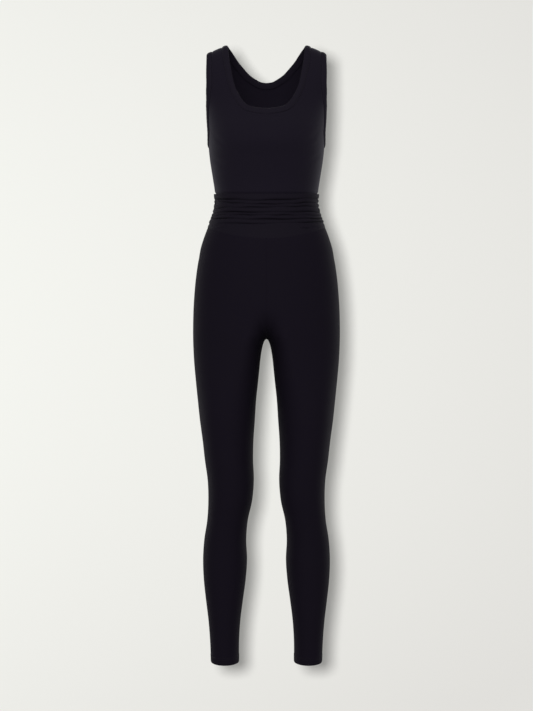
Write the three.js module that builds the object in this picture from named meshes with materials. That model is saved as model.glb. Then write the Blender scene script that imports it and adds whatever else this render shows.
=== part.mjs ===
// A sleeveless jumpsuit in stretch jersey, standing in the round as it does when it is worn: a tank
// bodice, a ruched waist panel and a pair of legging legs.
// Millimetres. +Z is up, the front faces -Y, and +X is the wearer's left. The origin lies midway
// between the tops of the two shoulder straps, where the shoulders carry the garment.
import * as THREE from "three";

// Driving sizes
const WALL = 1.5; // one layer of jersey
const BINDING_WALL = 2.4; // the jersey of a binding is folded double
const BINDING_WIDTH = 13.5;
const SEAM_GAP = 0.3; // between two pieces that are sewn together
const HALF_GAP = SEAM_GAP / 2;

const RIDGE_Y = 6; // the shoulder line lies a little behind the side seam
const WAIST_Z = -322; // the waist seam at the side
const WAIST_TILT = 0.11; // the waist seam is lower in front, by this share of the depth
const LEG_SEAM_Z = -399; // the seam between waist panel and leg, at the side
const LEG_SEAM_DIP = { front: 32, back: 8 }; // how far that seam dips at the centre
const CROTCH_Z = -650;
const HEM_Z = -1378;
const HEM_DIP = 2; // the hem is this much lower in front than at the side

// Half of the body's outline: z, the half width, how far the front and the back lie from y = 0, and
// the y of the side line. The rows run from the crotch up to the shoulder.
const TRUNK = [
  { z: -650, half: 166.2, front: 98, back: 108, side: 6 },
  { z: -605, half: 166.0, front: 99, back: 117, side: 6 },
  { z: -560, half: 164.1, front: 100, back: 121, side: 6 },
  { z: -507, half: 159.2, front: 101, back: 117, side: 5 },
  { z: -453, half: 150.4, front: 101, back: 102, side: 3 },
  { z: -426, half: 143.0, front: 99, back: 92, side: 2 },
  { z: -399, half: 133.0, front: 95, back: 83, side: 1 },
  { z: -372, half: 121.8, front: 90, back: 76, side: 0 },
  { z: -345, half: 115.9, front: 87, back: 71, side: 0 },
  { z: -318, half: 116.7, front: 86, back: 70, side: 0 },
  { z: -290, half: 120.8, front: 90, back: 71, side: 0 },
  { z: -250, half: 127.2, front: 101, back: 76, side: 0 },
  { z: -215, half: 131.0, front: 112, back: 82, side: 0 },
  { z: -182, half: 133.8, front: 106, back: 88, side: 0 },
  { z: -155, half: 136.3, front: 93, back: 91, side: 0 },
  { z: -132, half: 138.5, front: 82, back: 91, side: 0 },
  { z: -110, half: 144.0, front: 74, back: 88, side: 1 },
  { z: -90, half: 155.0, front: 67, back: 84, side: 2 },
  { z: -65, half: 167.0, front: 58, back: 75, side: 3 },
  { z: -40, half: 172.0, front: 46, back: 61, side: 4 },
  { z: -18, half: 174.0, front: 31, back: 43, side: 5 },
  { z: -5, half: 175.0, front: 14, back: 26, side: 6 },
  { z: 0, half: 175.0, front: -RIDGE_Y, back: RIDGE_Y, side: RIDGE_Y },
];

// One leg: z, the x of its outer and inner side, how far the front and back lie from y = 0, and
// the y of its inner and outer side.
const LEG = [
  { z: -650, outer: 166.2, inner: 12.5, front: 98, back: 108, side: 6 },
  { z: -697, outer: 164.1, inner: 14.2, front: 95, back: 96, side: 5 },
  { z: -742, outer: 160.1, inner: 18.4, front: 91, back: 84, side: 4 },
  { z: -788, outer: 155.3, inner: 23.3, front: 87, back: 75, side: 2 },
  { z: -833, outer: 150.4, inner: 26.2, front: 83, back: 68, side: 0 },
  { z: -878, outer: 144.2, inner: 29.3, front: 79, back: 62, side: -2 },
  { z: -923, outer: 139.0, inner: 30.1, front: 75, back: 57, side: -4 },
  { z: -968, outer: 132.7, inner: 28.4, front: 70, back: 53, side: -6 },
  { z: -1014, outer: 131.3, inner: 32.2, front: 64, back: 52, side: -5 },
  { z: -1059, outer: 134.0, inner: 42.1, front: 55, back: 58, side: 0 },
  { z: -1104, outer: 141.0, inner: 45.8, front: 49, back: 64, side: 6 },
  { z: -1149, outer: 143.8, inner: 43.9, front: 46, back: 67, side: 9 },
  { z: -1194, outer: 142.1, inner: 47.0, front: 43, back: 64, side: 9 },
  { z: -1240, outer: 137.1, inner: 53.2, front: 40, back: 57, side: 7 },
  { z: -1285, outer: 131.4, inner: 58.9, front: 38, back: 48, side: 4 },
  { z: -1330, outer: 127.7, inner: 61.8, front: 37, back: 42, side: 2 },
  { z: -1379, outer: 125.5, inner: 62.1, front: 37, back: 39, side: 1 },
];
const ARCH_HEIGHT = 60; // the rounded top of the space between the legs
const VALLEY_HALF = 46; // half the width of the hollow above the crotch
const VALLEY_HEIGHT = { front: 68, back: 100 };
const ROUND_BELOW = 200; // this far below the crotch the leg has become oval
const BODICE_FROM_Z = -372; // the bodice's form uses the rows of the outline above this
const LEGS_UP_TO_Z = -290; // the form of the legs and the waist uses the rows below this

// The edge of the neckline, from its lowest point to the shoulder.
const NECK_FRONT = [
  { x: 0, z: -143.8 },
  { x: 19, z: -142.2 },
  { x: 34, z: -138.3 },
  { x: 43, z: -134 },
  { x: 52, z: -124.8 },
  { x: 60.6, z: -110.5 },
  { x: 69.2, z: -92 },
  { x: 74.3, z: -73 },
  { x: 78.4, z: -53 },
  { x: 82.9, z: -26.5 },
  { x: 87.6, z: 13.5 },
];
const NECK_BACK = [
  { x: 0, z: -55.8 },
  { x: 13, z: -54 },
  { x: 24, z: -48.8 },
  { x: 33.9, z: -42.9 },
  { x: 41.4, z: -37.2 },
  { x: 53.4, z: -25 },
  { x: 64, z: -13.7 },
  { x: 72.8, z: -2 },
  { x: 80.7, z: 7.7 },
  { x: 87.6, z: 13.5 },
];
// The edge of the armhole, from the underarm to the shoulder: z before the shoulder's slope is
// added, and the angle round the body from the centre line.
const ARMHOLE_FRONT = [
  { z: -205, angle: 90 },
  { z: -200, angle: 85.5 },
  { z: -185, angle: 81.5 },
  { z: -160, angle: 80.5 },
  { z: -132, angle: 78 },
  { z: -112, angle: 71 },
  { z: -90, angle: 61 },
  { z: -68, angle: 54.5 },
  { z: -40, angle: 52 },
  { z: -15, angle: 51 },
  { z: 0, angle: 50.8 },
];
const ARMHOLE_BACK = [
  { z: -205, angle: 90 },
  { z: -200, angle: 85.5 },
  { z: -185, angle: 80.5 },
  { z: -160, angle: 76 },
  { z: -132, angle: 71.5 },
  { z: -112, angle: 65.5 },
  { z: -90, angle: 58 },
  { z: -68, angle: 53.5 },
  { z: -40, angle: 51.5 },
  { z: -15, angle: 50.8 },
  { z: 0, angle: 50.8 },
];
// The shoulder line's height over the ridge of the body, from the neck to the shoulder's end.
const SHOULDER = { fromX: 60, toX: 136, high: 16, low: -7, power: 2.2 };
const SLOPE_FADES = { from: -120, to: -10 }; // the slope grows between these heights

// The ruches of the waist panel: the z of each trough at the wearer's right side, at the centre
// and at the left side, and how deep it is there.
const TURNED_EDGE = 2.6; // how far the panel's turned top edge stands out
const RUCHE_LIFT = 2.2; // how far the cloth between two troughs stands out
const RUCHES = [
  { right: -337, centre: -346, left: -338, deepRight: 2.4, deepCentre: 2.2, deepLeft: 1.8 },
  { right: -345, centre: -354.5, left: -346, deepRight: 1.8, deepCentre: 1.2, deepLeft: 1.8 },
  { right: -356, centre: -362, left: -355, deepRight: 2.0, deepCentre: 1.6, deepLeft: 2.2 },
  { right: -366, centre: -372, left: -366, deepRight: 2.4, deepCentre: 1.8, deepLeft: 2.0 },
  { right: -374, centre: -379.5, left: -374, deepRight: 1.2, deepCentre: 1.4, deepLeft: 1.4 },
  { right: -382, centre: -388, left: -382, deepRight: 2.0, deepCentre: 2.4, deepLeft: 2.8 },
  { right: -391, centre: -397, left: -390, deepRight: 2.4, deepCentre: 1.8, deepLeft: 2.8 },
];
const RUCHES_BACK = [
  { right: -334, centre: -328, left: -333, deepRight: 1.6, deepCentre: 2.2, deepLeft: 2.2 },
  { right: -344, centre: -338, left: -342, deepRight: 2.0, deepCentre: 1.2, deepLeft: 1.8 },
  { right: -354, centre: -349, left: -353, deepRight: 1.6, deepCentre: 2.0, deepLeft: 2.2 },
  { right: -364, centre: -360, left: -362, deepRight: 2.2, deepCentre: 1.4, deepLeft: 1.6 },
  { right: -374, centre: -371, left: -373, deepRight: 2.0, deepCentre: 2.0, deepLeft: 2.4 },
  { right: -384, centre: -381, left: -383, deepRight: 2.2, deepCentre: 1.6, deepLeft: 2.0 },
];

const jersey = (color) =>
  new THREE.MeshStandardMaterial({ color, roughness: 0.85, metalness: 0 });
const BODICE_CLOTH = jersey(0x19171d);
const LEG_CLOTH = jersey(0x17151b);
const BINDING_CLOTH = jersey(0x1b191f);

const mix = (a, b, share) => a + (b - a) * share;
const clamp = (value, low, high) => Math.min(high, Math.max(low, value));
const smooth = (share) => share * share * (3 - 2 * share);
const radians = THREE.MathUtils.degToRad;
const SIDE_ANGLE = Math.PI / 2;
const ROUNDS = 12; // rounds in which a value that depends on itself settles

// The value of a column at a place between two rows of a table, on a smooth curve through them.
function column(table, name, place) {
  const last = table.length - 1;
  const row = Math.floor(clamp(place, 0, last - 1e-9));
  const at = (n) => {
    if (n < 0) return 2 * table[0][name] - table[1][name];
    if (n > last) return 2 * table[last][name] - table[last - 1][name];
    return table[n][name];
  };
  const [a, b, c, d] = [at(row - 1), at(row), at(row + 1), at(row + 2)];
  const u = place - row;
  const bend = 2 * a - 5 * b + 4 * c - d;
  return b + 0.5 * u * (c - a + u * (bend + u * (3 * (b - c) + d - a)));
}

// The place in a table where a column that only rises, or only falls, has a value.
function placeOf(table, name, value) {
  let [low, high] = [0, table.length - 1];
  const rises = table[high][name] > table[low][name];
  for (let n = 0; n < 40; n++) {
    const middle = (low + high) / 2;
    if (column(table, name, middle) < value === rises) low = middle;
    else high = middle;
  }
  return (low + high) / 2;
}

// The outline below the bodice in one table, from the hem to the waist.
const LEG_UP = LEG.slice(1)
  .reverse()
  .map(({ z, outer, front, back, side }) => ({ z, half: outer, front, back, side }));
const LOWER = [...LEG_UP, ...TRUNK.filter((row) => row.z <= LEGS_UP_TO_Z)];

// The bodice runs in one sweep from the front of the waist over the shoulder to the back.
const UPPER = TRUNK.filter((row) => row.z >= BODICE_FROM_Z);
const UP = UPPER.map(({ z, half, front, side }) => ({ z, half, depth: -front, side }));
const DOWN = UPPER.slice(0, -1)
  .reverse()
  .map(({ z, half, back, side }) => ({ z, half, depth: back, side }));
const SWEEP = [...UP, ...DOWN];
const RIDGE = UP.length - 1; // the place of the shoulder line in that sweep

function shoulderLift(x, z) {
  const along = clamp((Math.abs(x) - SHOULDER.fromX) / (SHOULDER.toX - SHOULDER.fromX), 0, 1.2);
  const lift = SHOULDER.high + (SHOULDER.low - SHOULDER.high) * along ** SHOULDER.power;
  const grown = clamp((z - SLOPE_FADES.from) / (SLOPE_FADES.to - SLOPE_FADES.from), 0, 1);
  return lift * smooth(grown);
}

// A point of the bodice's outer face: the angle from the centre line, in radians, and the place in
// the sweep.
function bodicePoint(angle, place) {
  const z = column(SWEEP, "z", place);
  const side = column(SWEEP, "side", place);
  const x = column(SWEEP, "half", place) * Math.sin(angle);
  const y = side + (column(SWEEP, "depth", place) - side) * Math.cos(angle);
  return new THREE.Vector3(x, y, z + shoulderLift(x, z));
}

// The place in the sweep of a height on the front, or on the back.
function sweepPlace(z, back) {
  const place = placeOf(UP, "z", Math.min(z, 0));
  return back ? 2 * RIDGE - place : place;
}

// The outward normal of a surface that is given as a function of two numbers.
function normalOf(surface, u, v, step = 0.01) {
  const across = surface(u + step, v).sub(surface(u - step, v));
  const along = surface(u, v + step).sub(surface(u, v - step));
  return across.cross(along).normalize();
}

// A curve on the bodice is a list of { angle, place }. This moves it over the surface by a
// distance, to the side that the sign gives, and keeps points on the centre line, the side line
// and the shoulder line where they are on it.
function movedOverSurface(curve, distance, closed) {
  const points = curve.map(({ angle, place }) => bodicePoint(angle, place));
  const count = curve.length;
  return curve.map(({ angle, place }, n) => {
    const before = points[closed ? (n + count - 1) % count : Math.max(n - 1, 0)];
    const after = points[closed ? (n + 1) % count : Math.min(n + 1, count - 1)];
    const tangent = after.clone().sub(before).normalize();
    const step = 0.01;
    const acrossStep = bodicePoint(angle + step, place).sub(bodicePoint(angle - step, place));
    const alongStep = bodicePoint(angle, place + step).sub(bodicePoint(angle, place - step));
    const across = acrossStep.multiplyScalar(0.5 / step);
    const along = alongStep.multiplyScalar(0.5 / step);
    const normal = across.clone().cross(along).normalize();
    const way = tangent.cross(normal).normalize().multiplyScalar(distance);
    const [e, f, g] = [across.dot(across), across.dot(along), along.dot(along)];
    const [p, q] = [across.dot(way), along.dot(way)];
    const area = e * g - f * f;
    const onLine = angle === 0 || angle === SIDE_ANGLE;
    return {
      angle: onLine ? angle : angle + (g * p - f * q) / area,
      place: place === RIDGE ? place : place + (e * q - f * p) / area,
    };
  });
}

// Evenly spaced points of a polyline in space, as values of the list that it was made from.
function evenly(curve, pointOf, count) {
  const points = curve.map(pointOf);
  const lengths = [0];
  points.slice(1).forEach((p, n) => lengths.push(lengths[n] + p.distanceTo(points[n])));
  const total = lengths.at(-1);
  return Array.from({ length: count + 1 }, (_, n) => {
    const wanted = (total * n) / count;
    let k = lengths.findIndex((l) => l >= wanted - 1e-9);
    k = clamp(k, 1, lengths.length - 1);
    const share = (wanted - lengths[k - 1]) / (lengths[k] - lengths[k - 1]);
    const [a, b] = [curve[k - 1], curve[k]];
    return Object.fromEntries(Object.keys(a).map((key) => [key, mix(a[key], b[key], share)]));
  });
}

const FINE = 60; // steps in which a curve of a table is followed before it is spaced evenly

function necklineEdge(table, back) {
  return Array.from({ length: FINE + 1 }, (_, n) => {
    const at = (n / FINE) * (table.length - 1);
    const [x, z] = [column(table, "x", at), column(table, "z", at)];
    let plain = z;
    for (let k = 0; k < ROUNDS; k++) plain = z - shoulderLift(x, plain);
    const place = n === FINE ? RIDGE : sweepPlace(plain, back);
    return { angle: Math.asin(x / column(SWEEP, "half", place)), place };
  });
}

function armholeEdge(table, back) {
  return Array.from({ length: FINE + 1 }, (_, n) => {
    const at = (n / FINE) * (table.length - 1);
    const place = n === FINE ? RIDGE : sweepPlace(column(table, "z", at), back);
    return { angle: radians(Math.min(column(table, "angle", at), 90)), place };
  });
}

const onBodice = ({ angle, place }) => bodicePoint(angle, place);

// The whole edge of the neckline's left half, and of an armhole, and the same lines moved into
// the cloth.
const NECK_STEPS = { front: 14, back: 11 }; // steps of the neckline on one half
const ARM_STEPS = 16; // steps of an armhole on the front, and on the back
const neckEdge = [
  ...evenly(necklineEdge(NECK_FRONT, false), onBodice, NECK_STEPS.front),
  ...evenly(necklineEdge(NECK_BACK, true), onBodice, NECK_STEPS.back).reverse().slice(1),
];
const armEdge = [
  ...evenly(armholeEdge(ARMHOLE_FRONT, false), onBodice, ARM_STEPS),
  ...evenly(armholeEdge(ARMHOLE_BACK, true), onBodice, ARM_STEPS).reverse().slice(1, -1),
];

// The neckline's lines are moved as a whole round, so that they stay level at the centre.
function neckLine(distance) {
  const mirrored = neckEdge
    .slice(1, -1)
    .reverse()
    .map(({ angle, place }) => ({ angle: -angle, place }));
  return movedOverSurface([...neckEdge, ...mirrored], distance, true).slice(0, neckEdge.length);
}

const armLine = (distance) => movedOverSurface(armEdge, -distance, true);

// A piece of cloth: outer and inner points under names, and four-sided faces that turn
// anticlockwise when they are seen from outside.
class Cloth {
  constructor() {
    this.index = new Map();
    this.outer = [];
    this.inner = [];
    this.faces = [];
  }

  point(name, outer, inner) {
    if (!this.index.has(name)) {
      this.index.set(name, this.outer.length);
      this.outer.push(outer);
      this.inner.push(inner);
    }
    return this.index.get(name);
  }

  face(corners, turned) {
    this.faces.push(turned ? [...corners].reverse() : corners);
  }

  // The closed wall: the outer faces, the inner faces turned round, and a strip along each edge.
  geometry() {
    const points = [...this.outer, ...this.inner];
    const inside = this.outer.length;
    const triangles = [];
    const quad = (a, b, c, d) => {
      const across = points[a].distanceTo(points[c]) <= points[b].distanceTo(points[d]);
      if (across) triangles.push(a, b, c, a, c, d);
      else triangles.push(a, b, d, b, c, d);
    };
    const edges = new Set();
    this.faces.forEach((f) => f.forEach((a, n) => edges.add(`${a} ${f[(n + 1) % f.length]}`)));
    this.faces.forEach(([a, b, c, d]) => {
      quad(a, b, c, d);
      quad(d + inside, c + inside, b + inside, a + inside);
    });
    edges.forEach((edge) => {
      const [a, b] = edge.split(" ").map(Number);
      if (!edges.has(`${b} ${a}`)) quad(b, a, a + inside, b + inside);
    });
    const geometry = new THREE.BufferGeometry();
    const flat = new Float32Array(points.flatMap((p) => [p.x, p.y, p.z]));
    geometry.setAttribute("position", new THREE.BufferAttribute(flat, 3));
    geometry.setIndex(triangles);
    geometry.computeVertexNormals();
    return geometry;
  }
}

const mirroredX = (v, side) => new THREE.Vector3(v.x * side, v.y, v.z);

// The front or the back of the bodice. Each half is a grid between an inner line, which is the
// centre line and then the neckline, and an outer line, the side seam and then the armhole.
const BODICE_COLUMNS = 9;
const BODICE_ROWS = 22; // rows from the waist to the shoulder
const BODICE_SIDE_ROWS = BODICE_ROWS - ARM_STEPS; // rows of the side seam, below the armhole
const OFF_SHOULDER = 0.008; // how far from the shoulder line a panel stops, in rows of the sweep

function waistHeight(angle, place) {
  const side = column(SWEEP, "side", place);
  const depth = column(SWEEP, "depth", place);
  return WAIST_Z + WAIST_TILT * (side + (depth - side) * Math.cos(angle));
}

function bodicePanel(back) {
  const cloth = new Cloth();
  const rows = BODICE_ROWS;
  const neckSteps = back ? NECK_STEPS.back : NECK_STEPS.front;
  const lowRows = rows - neckSteps; // rows below the bottom of the neckline
  const half = (curve, steps) => {
    if (!back) return curve.slice(0, steps + 1);
    return curve.slice(steps).reverse();
  };
  const neck = half(neckLine(BINDING_WIDTH + HALF_GAP), NECK_STEPS.front);
  const armWhole = armLine(BINDING_WIDTH + HALF_GAP);
  const underarm = { ...armWhole[0], place: 2 * RIDGE - armWhole[0].place };
  const arm = half([...armWhole, underarm], ARM_STEPS);
  const shoulder = RIDGE + (back ? OFF_SHOULDER : -OFF_SHOULDER);
  for (const line of [neck, arm]) line[line.length - 1].place = shoulder;
  const waistPlace = (angle) => {
    let place = sweepPlace(WAIST_Z, back);
    for (let n = 0; n < ROUNDS; n++) {
      place = sweepPlace(waistHeight(angle, place) + HALF_GAP, back);
    }
    return place;
  };
  const straight = (angle, from, to, count) =>
    Array.from({ length: count }, (_, n) => ({ angle, place: mix(from, to, n / count) }));
  const level = arm[0].place; // the centre line has as many rows up to here as the side seam
  const inner = [
    ...straight(0, waistPlace(0), level, BODICE_SIDE_ROWS),
    ...straight(0, level, neck[0].place, lowRows - BODICE_SIDE_ROWS),
    ...neck,
  ];
  const outer = [...straight(SIDE_ANGLE, waistPlace(SIDE_ANGLE), level, BODICE_SIDE_ROWS), ...arm];
  const surface = (share, row) => {
    const [from, to] = [inner[row], outer[row]];
    const angle = mix(from.angle, to.angle, share);
    const plain = mix(inner[0].place, outer[0].place, share);
    const tilt = (waistPlace(SIDE_ANGLE * share) - plain) * (1 - row / rows);
    return { angle, place: mix(from.place, to.place, share) + tilt };
  };
  for (const side of [1, -1]) {
    const name = (row, n) => (n === 0 && row <= lowRows ? `${row} 0` : `${row} ${n} ${side}`);
    const ids = [];
    for (let row = 0; row <= rows; row++) {
      ids.push([]);
      for (let n = 0; n <= BODICE_COLUMNS; n++) {
        const { angle, place } = surface(n / BODICE_COLUMNS, row);
        const outerPoint = bodicePoint(angle, place);
        const inward = normalOf(bodicePoint, angle, place).multiplyScalar(-WALL);
        if (n === BODICE_COLUMNS && row < BODICE_SIDE_ROWS + 1) {
          outerPoint.y += back ? HALF_GAP : -HALF_GAP;
          inward.y = 0;
        }
        const walls = [outerPoint, outerPoint.clone().add(inward)];
        ids[row].push(cloth.point(name(row, n), ...walls.map((v) => mirroredX(v, side))));
      }
    }
    for (let row = 0; row < rows; row++) {
      for (let n = 0; n < BODICE_COLUMNS; n++) {
        const corners = [ids[row][n], ids[row][n + 1], ids[row + 1][n + 1], ids[row + 1][n]];
        cloth.face(corners, (side < 0) !== back);
      }
    }
  }
  return cloth.geometry();
}

// A binding: a band between a seam line and an edge, a little proud of the cloth and rounded at
// the edge.
const BAND = [
  { across: 1, proud: 0.45 },
  { across: 0.5, proud: 0.9 },
  { across: 0, proud: 0.3 },
];

function bandPoints({ angle, place }, proud) {
  const out = normalOf(bodicePoint, angle, place);
  const outer = bodicePoint(angle, place).addScaledVector(out, proud);
  return [outer, bodicePoint(angle, place).addScaledVector(out, proud - BINDING_WALL)];
}

function band(lineAt, wholeRound, turned) {
  const cloth = new Cloth();
  const lines = BAND.map(({ across }) => lineAt(mix(0, BINDING_WIDTH - HALF_GAP, across)));
  const count = lines[0].length;
  for (const side of wholeRound) {
    const shared = (n) => wholeRound.length > 1 && (n === 0 || n === count - 1);
    const ids = lines.map((line, k) =>
      line.map((at, n) => {
        const [outer, inner] = bandPoints(at, BAND[k].proud);
        if (shared(n)) [outer.x, inner.x] = [0, 0];
        const name = shared(n) ? `${k} ${n}` : `${k} ${n} ${side}`;
        return cloth.point(name, mirroredX(outer, side), mirroredX(inner, side));
      }),
    );
    const steps = wholeRound.length > 1 ? count - 1 : count;
    for (let k = 0; k + 1 < ids.length; k++) {
      for (let n = 0; n < steps; n++) {
        const next = (n + 1) % count;
        const corners = [ids[k][n], ids[k][next], ids[k + 1][next], ids[k + 1][n]];
        cloth.face(corners, (side < 0) !== turned);
      }
    }
  }
  return cloth.geometry();
}

// A point of the trunk below the bodice: z, and the angle round the body from the centre front.
function trunkPoint(angle, z) {
  const place = placeOf(LOWER, "z", z);
  const side = column(LOWER, "side", place);
  const reach = Math.cos(angle) > 0 ? -column(LOWER, "front", place) : column(LOWER, "back", place);
  const x = column(LOWER, "half", place) * Math.sin(angle);
  return new THREE.Vector3(x, side + (reach - side) * Math.abs(Math.cos(angle)), z);
}

// The waist panel's top edge, and the seam below it, at an angle round the body.
const WAIST_PLACE = placeOf(LOWER, "z", WAIST_Z);

function panelTop(angle) {
  const cosine = Math.cos(angle);
  const reach = column(LOWER, cosine > 0 ? "front" : "back", WAIST_PLACE);
  return WAIST_Z - WAIST_TILT * reach * cosine;
}

function legSeam(angle) {
  const dip = Math.cos(angle) > 0 ? LEG_SEAM_DIP.front : LEG_SEAM_DIP.back;
  return LEG_SEAM_Z - dip * Math.cos(angle) ** 2;
}

// A value that a ruche has at its right end, its centre and its left end, at a place across the
// panel from -1 to 1.
function acrossPanel(right, centre, left, place) {
  return centre + ((left - right) / 2) * place + ((left + right) / 2 - centre) * place * place;
}

const PANEL_COLUMNS = 18;
const PANEL_TOP_PROUD = 0.8; // the turned edge is rounded off to this at its top
const TURNED_EDGE_FROM = 0.3; // where the turned edge is full, as shares of the way to a trough
const TURNED_EDGE_TO = 0.7;
const LAST_FOLD_HEIGHT = 6;
// Below the last fold: the share of the way to the lower seam, and how far the cloth stands out.
const SETTLING = [
  { share: 0.35, proud: 0.7 },
  { share: 0.7, proud: 0.2 },
  { share: 1, proud: 0 },
];

function waistPanel(ruches, back) {
  const cloth = new Cloth();
  const troughs = (place) =>
    ruches.map((r) => ({
      z: acrossPanel(r.right, r.centre, r.left, place),
      deep: acrossPanel(r.deepRight, r.deepCentre, r.deepLeft, place),
    }));
  const rowsAt = (angle, place) => {
    const top = panelTop(angle) - HALF_GAP;
    const low = legSeam(angle) + HALF_GAP;
    const lines = troughs(place);
    const rows = [
      { z: top, proud: PANEL_TOP_PROUD },
      { z: mix(top, lines[0].z, TURNED_EDGE_FROM), proud: TURNED_EDGE },
      { z: mix(top, lines[0].z, TURNED_EDGE_TO), proud: TURNED_EDGE },
    ];
    lines.forEach(({ z, deep }, n) => {
      rows.push({ z, proud: RUCHE_LIFT - deep });
      const next = n + 1 < lines.length ? lines[n + 1].z : Math.max(z - LAST_FOLD_HEIGHT, low);
      rows.push({ z: (z + next) / 2, proud: RUCHE_LIFT });
    });
    const end = rows.at(-1).z;
    SETTLING.forEach(({ share, proud }) => rows.push({ z: mix(end, low, share), proud }));
    return rows;
  };
  const ids = [];
  for (let n = 0; n <= PANEL_COLUMNS; n++) {
    const place = mix(-1, 1, n / PANEL_COLUMNS);
    const angle = back ? Math.PI - SIDE_ANGLE * place : SIDE_ANGLE * place;
    ids.push(
      rowsAt(angle, place).map(({ z, proud }, row) => {
        const out = normalOf(trunkPoint, angle, z);
        const foot = trunkPoint(angle, z);
        if (n === 0 || n === PANEL_COLUMNS) {
          foot.y += back ? HALF_GAP : -HALF_GAP;
          out.y = 0;
        }
        const outer = foot.clone().addScaledVector(out, proud);
        const inner = foot.clone().addScaledVector(out, -WALL);
        return cloth.point(`${row} ${n}`, outer, inner);
      }),
    );
  }
  for (let n = 0; n < PANEL_COLUMNS; n++) {
    for (let row = 0; row + 1 < ids[n].length; row++) {
      const corners = [ids[n][row], ids[n][row + 1], ids[n + 1][row + 1], ids[n + 1][row]];
      cloth.face(corners, back);
    }
  }
  return cloth.geometry();
}

// A leg from the waist panel to the hem. The angle runs from the centre front, or the inseam, over
// the front to the outer side and back over the back. Above the crotch the wall is open at the
// centre, where the other leg is sewn on, and below it the wall is closed by the inseam.
function legPoint(angle, z) {
  const above = Math.max(z, CROTCH_Z) - CROTCH_Z;
  const below = CROTCH_Z - Math.min(z, CROTCH_Z);
  const place = placeOf(LOWER, "z", z);
  const outer = column(LOWER, "half", place);
  const arch = below < ARCH_HEIGHT ? Math.sqrt(1 - (1 - below / ARCH_HEIGHT) ** 2) : 1;
  const inner = below > 0 ? column(LEG, "inner", placeOf(LEG, "z", z)) * arch : 0;
  const side = column(LOWER, "side", place);
  const inFront = Math.sin(angle) >= 0;
  const reach = inFront ? -column(LOWER, "front", place) : column(LOWER, "back", place);
  const middle = (inner + outer) / 2;
  const x = middle - ((outer - inner) / 2) * Math.cos(angle);
  const height = VALLEY_HEIGHT[inFront ? "front" : "back"];
  const risen = clamp(above / height, 0, 1);
  const valley = (1 - (1 - risen) ** 2) ** 2; // 0 at the crotch, 1 where the hollow has ended
  const s = clamp((x - inner) / VALLEY_HALF, 0, 1);
  const filled = (valley + (1 - valley) * (2 * s - s * s) ** 2) ** 0.25;
  const trunkShape = Math.sqrt(Math.max(0, 1 - (x / outer) ** 2)) * filled;
  const oval = Math.abs(Math.sin(angle));
  const share = smooth(clamp(below / ROUND_BELOW, 0, 1));
  const y = side + (reach - side) * mix(trunkShape, oval, share);
  return new THREE.Vector3(x, y, z);
}

const LEG_COLUMNS = 24;
const SAFE_ANGLE = 0.03; // a normal is taken this far from the inseam, where the form turns
// The rows of a leg: shares of the height from the crotch to the seam, and depths below the crotch.
const LEG_ABOVE = [1, 0.72, 0.5, 0.34, 0.22, 0.12, 0.05, 0.012];
const LEG_BELOW = [0, 3, 12, 28, 52, 85, 125, 175, 230, 285, 335, 378, 418, 458, 500, 545]
  .concat([590, 635, 682]);

function leg(side) {
  const cloth = new Cloth();
  const crotchRow = LEG_ABOVE.length;
  const rows = crotchRow + LEG_BELOW.length;
  const heightOf = (row, angle) => {
    if (row < crotchRow) {
      const across = Math.asin((1 - Math.cos(angle)) / 2);
      const trunkAngle = Math.sin(angle) >= 0 ? across : Math.PI - across;
      return mix(CROTCH_Z, legSeam(trunkAngle) - HALF_GAP, LEG_ABOVE[row]);
    }
    if (row < rows) return CROTCH_Z - LEG_BELOW[row - crotchRow];
    return HEM_Z - HEM_DIP * Math.sin(angle);
  };
  const name = (row, n) => `${row} ${row >= crotchRow && n === LEG_COLUMNS ? 0 : n}`;
  const ids = [];
  for (let row = 0; row <= rows; row++) {
    ids.push([]);
    for (let n = 0; n <= LEG_COLUMNS; n++) {
      const angle = (2 * Math.PI * n) / LEG_COLUMNS;
      const safe = clamp(angle, SAFE_ANGLE, 2 * Math.PI - SAFE_ANGLE);
      const z = heightOf(row, angle);
      const outer = legPoint(angle, z);
      let inward = normalOf(legPoint, safe, z).multiplyScalar(-WALL);
      if (row === crotchRow && n % LEG_COLUMNS === 0) inward = new THREE.Vector3(0, 0, WALL);
      else if (row < crotchRow && n % LEG_COLUMNS === 0) inward.setX(0);
      outer.x = Math.max(outer.x, HALF_GAP);
      const inner = outer.clone().add(inward);
      inner.x = Math.max(inner.x, HALF_GAP);
      ids[row].push(cloth.point(name(row, n), mirroredX(outer, side), mirroredX(inner, side)));
    }
  }
  for (let row = 0; row < rows; row++) {
    for (let n = 0; n < LEG_COLUMNS; n++) {
      const corners = [ids[row][n], ids[row + 1][n], ids[row + 1][n + 1], ids[row][n + 1]];
      cloth.face(corners, side < 0);
    }
  }
  return cloth.geometry();
}

function piece(name, geometry, material) {
  const mesh = new THREE.Mesh(geometry, material);
  mesh.name = name;
  return mesh;
}

const jumpsuit = new THREE.Group();
jumpsuit.add(
  piece("bodice_front", bodicePanel(false), BODICE_CLOTH),
  piece("bodice_back", bodicePanel(true), BODICE_CLOTH),
  piece("neck_binding", band(neckLine, [1, -1], false), BINDING_CLOTH),
  piece("armhole_binding_left", band(armLine, [1], true), BINDING_CLOTH),
  piece("armhole_binding_right", band(armLine, [-1], true), BINDING_CLOTH),
  piece("waist_panel_front", waistPanel(RUCHES, false), BODICE_CLOTH),
  piece("waist_panel_back", waistPanel(RUCHES_BACK, true), BODICE_CLOTH),
  piece("leg_left", leg(1), LEG_CLOTH),
  piece("leg_right", leg(-1), LEG_CLOTH),
);

export default jumpsuit;
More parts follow.
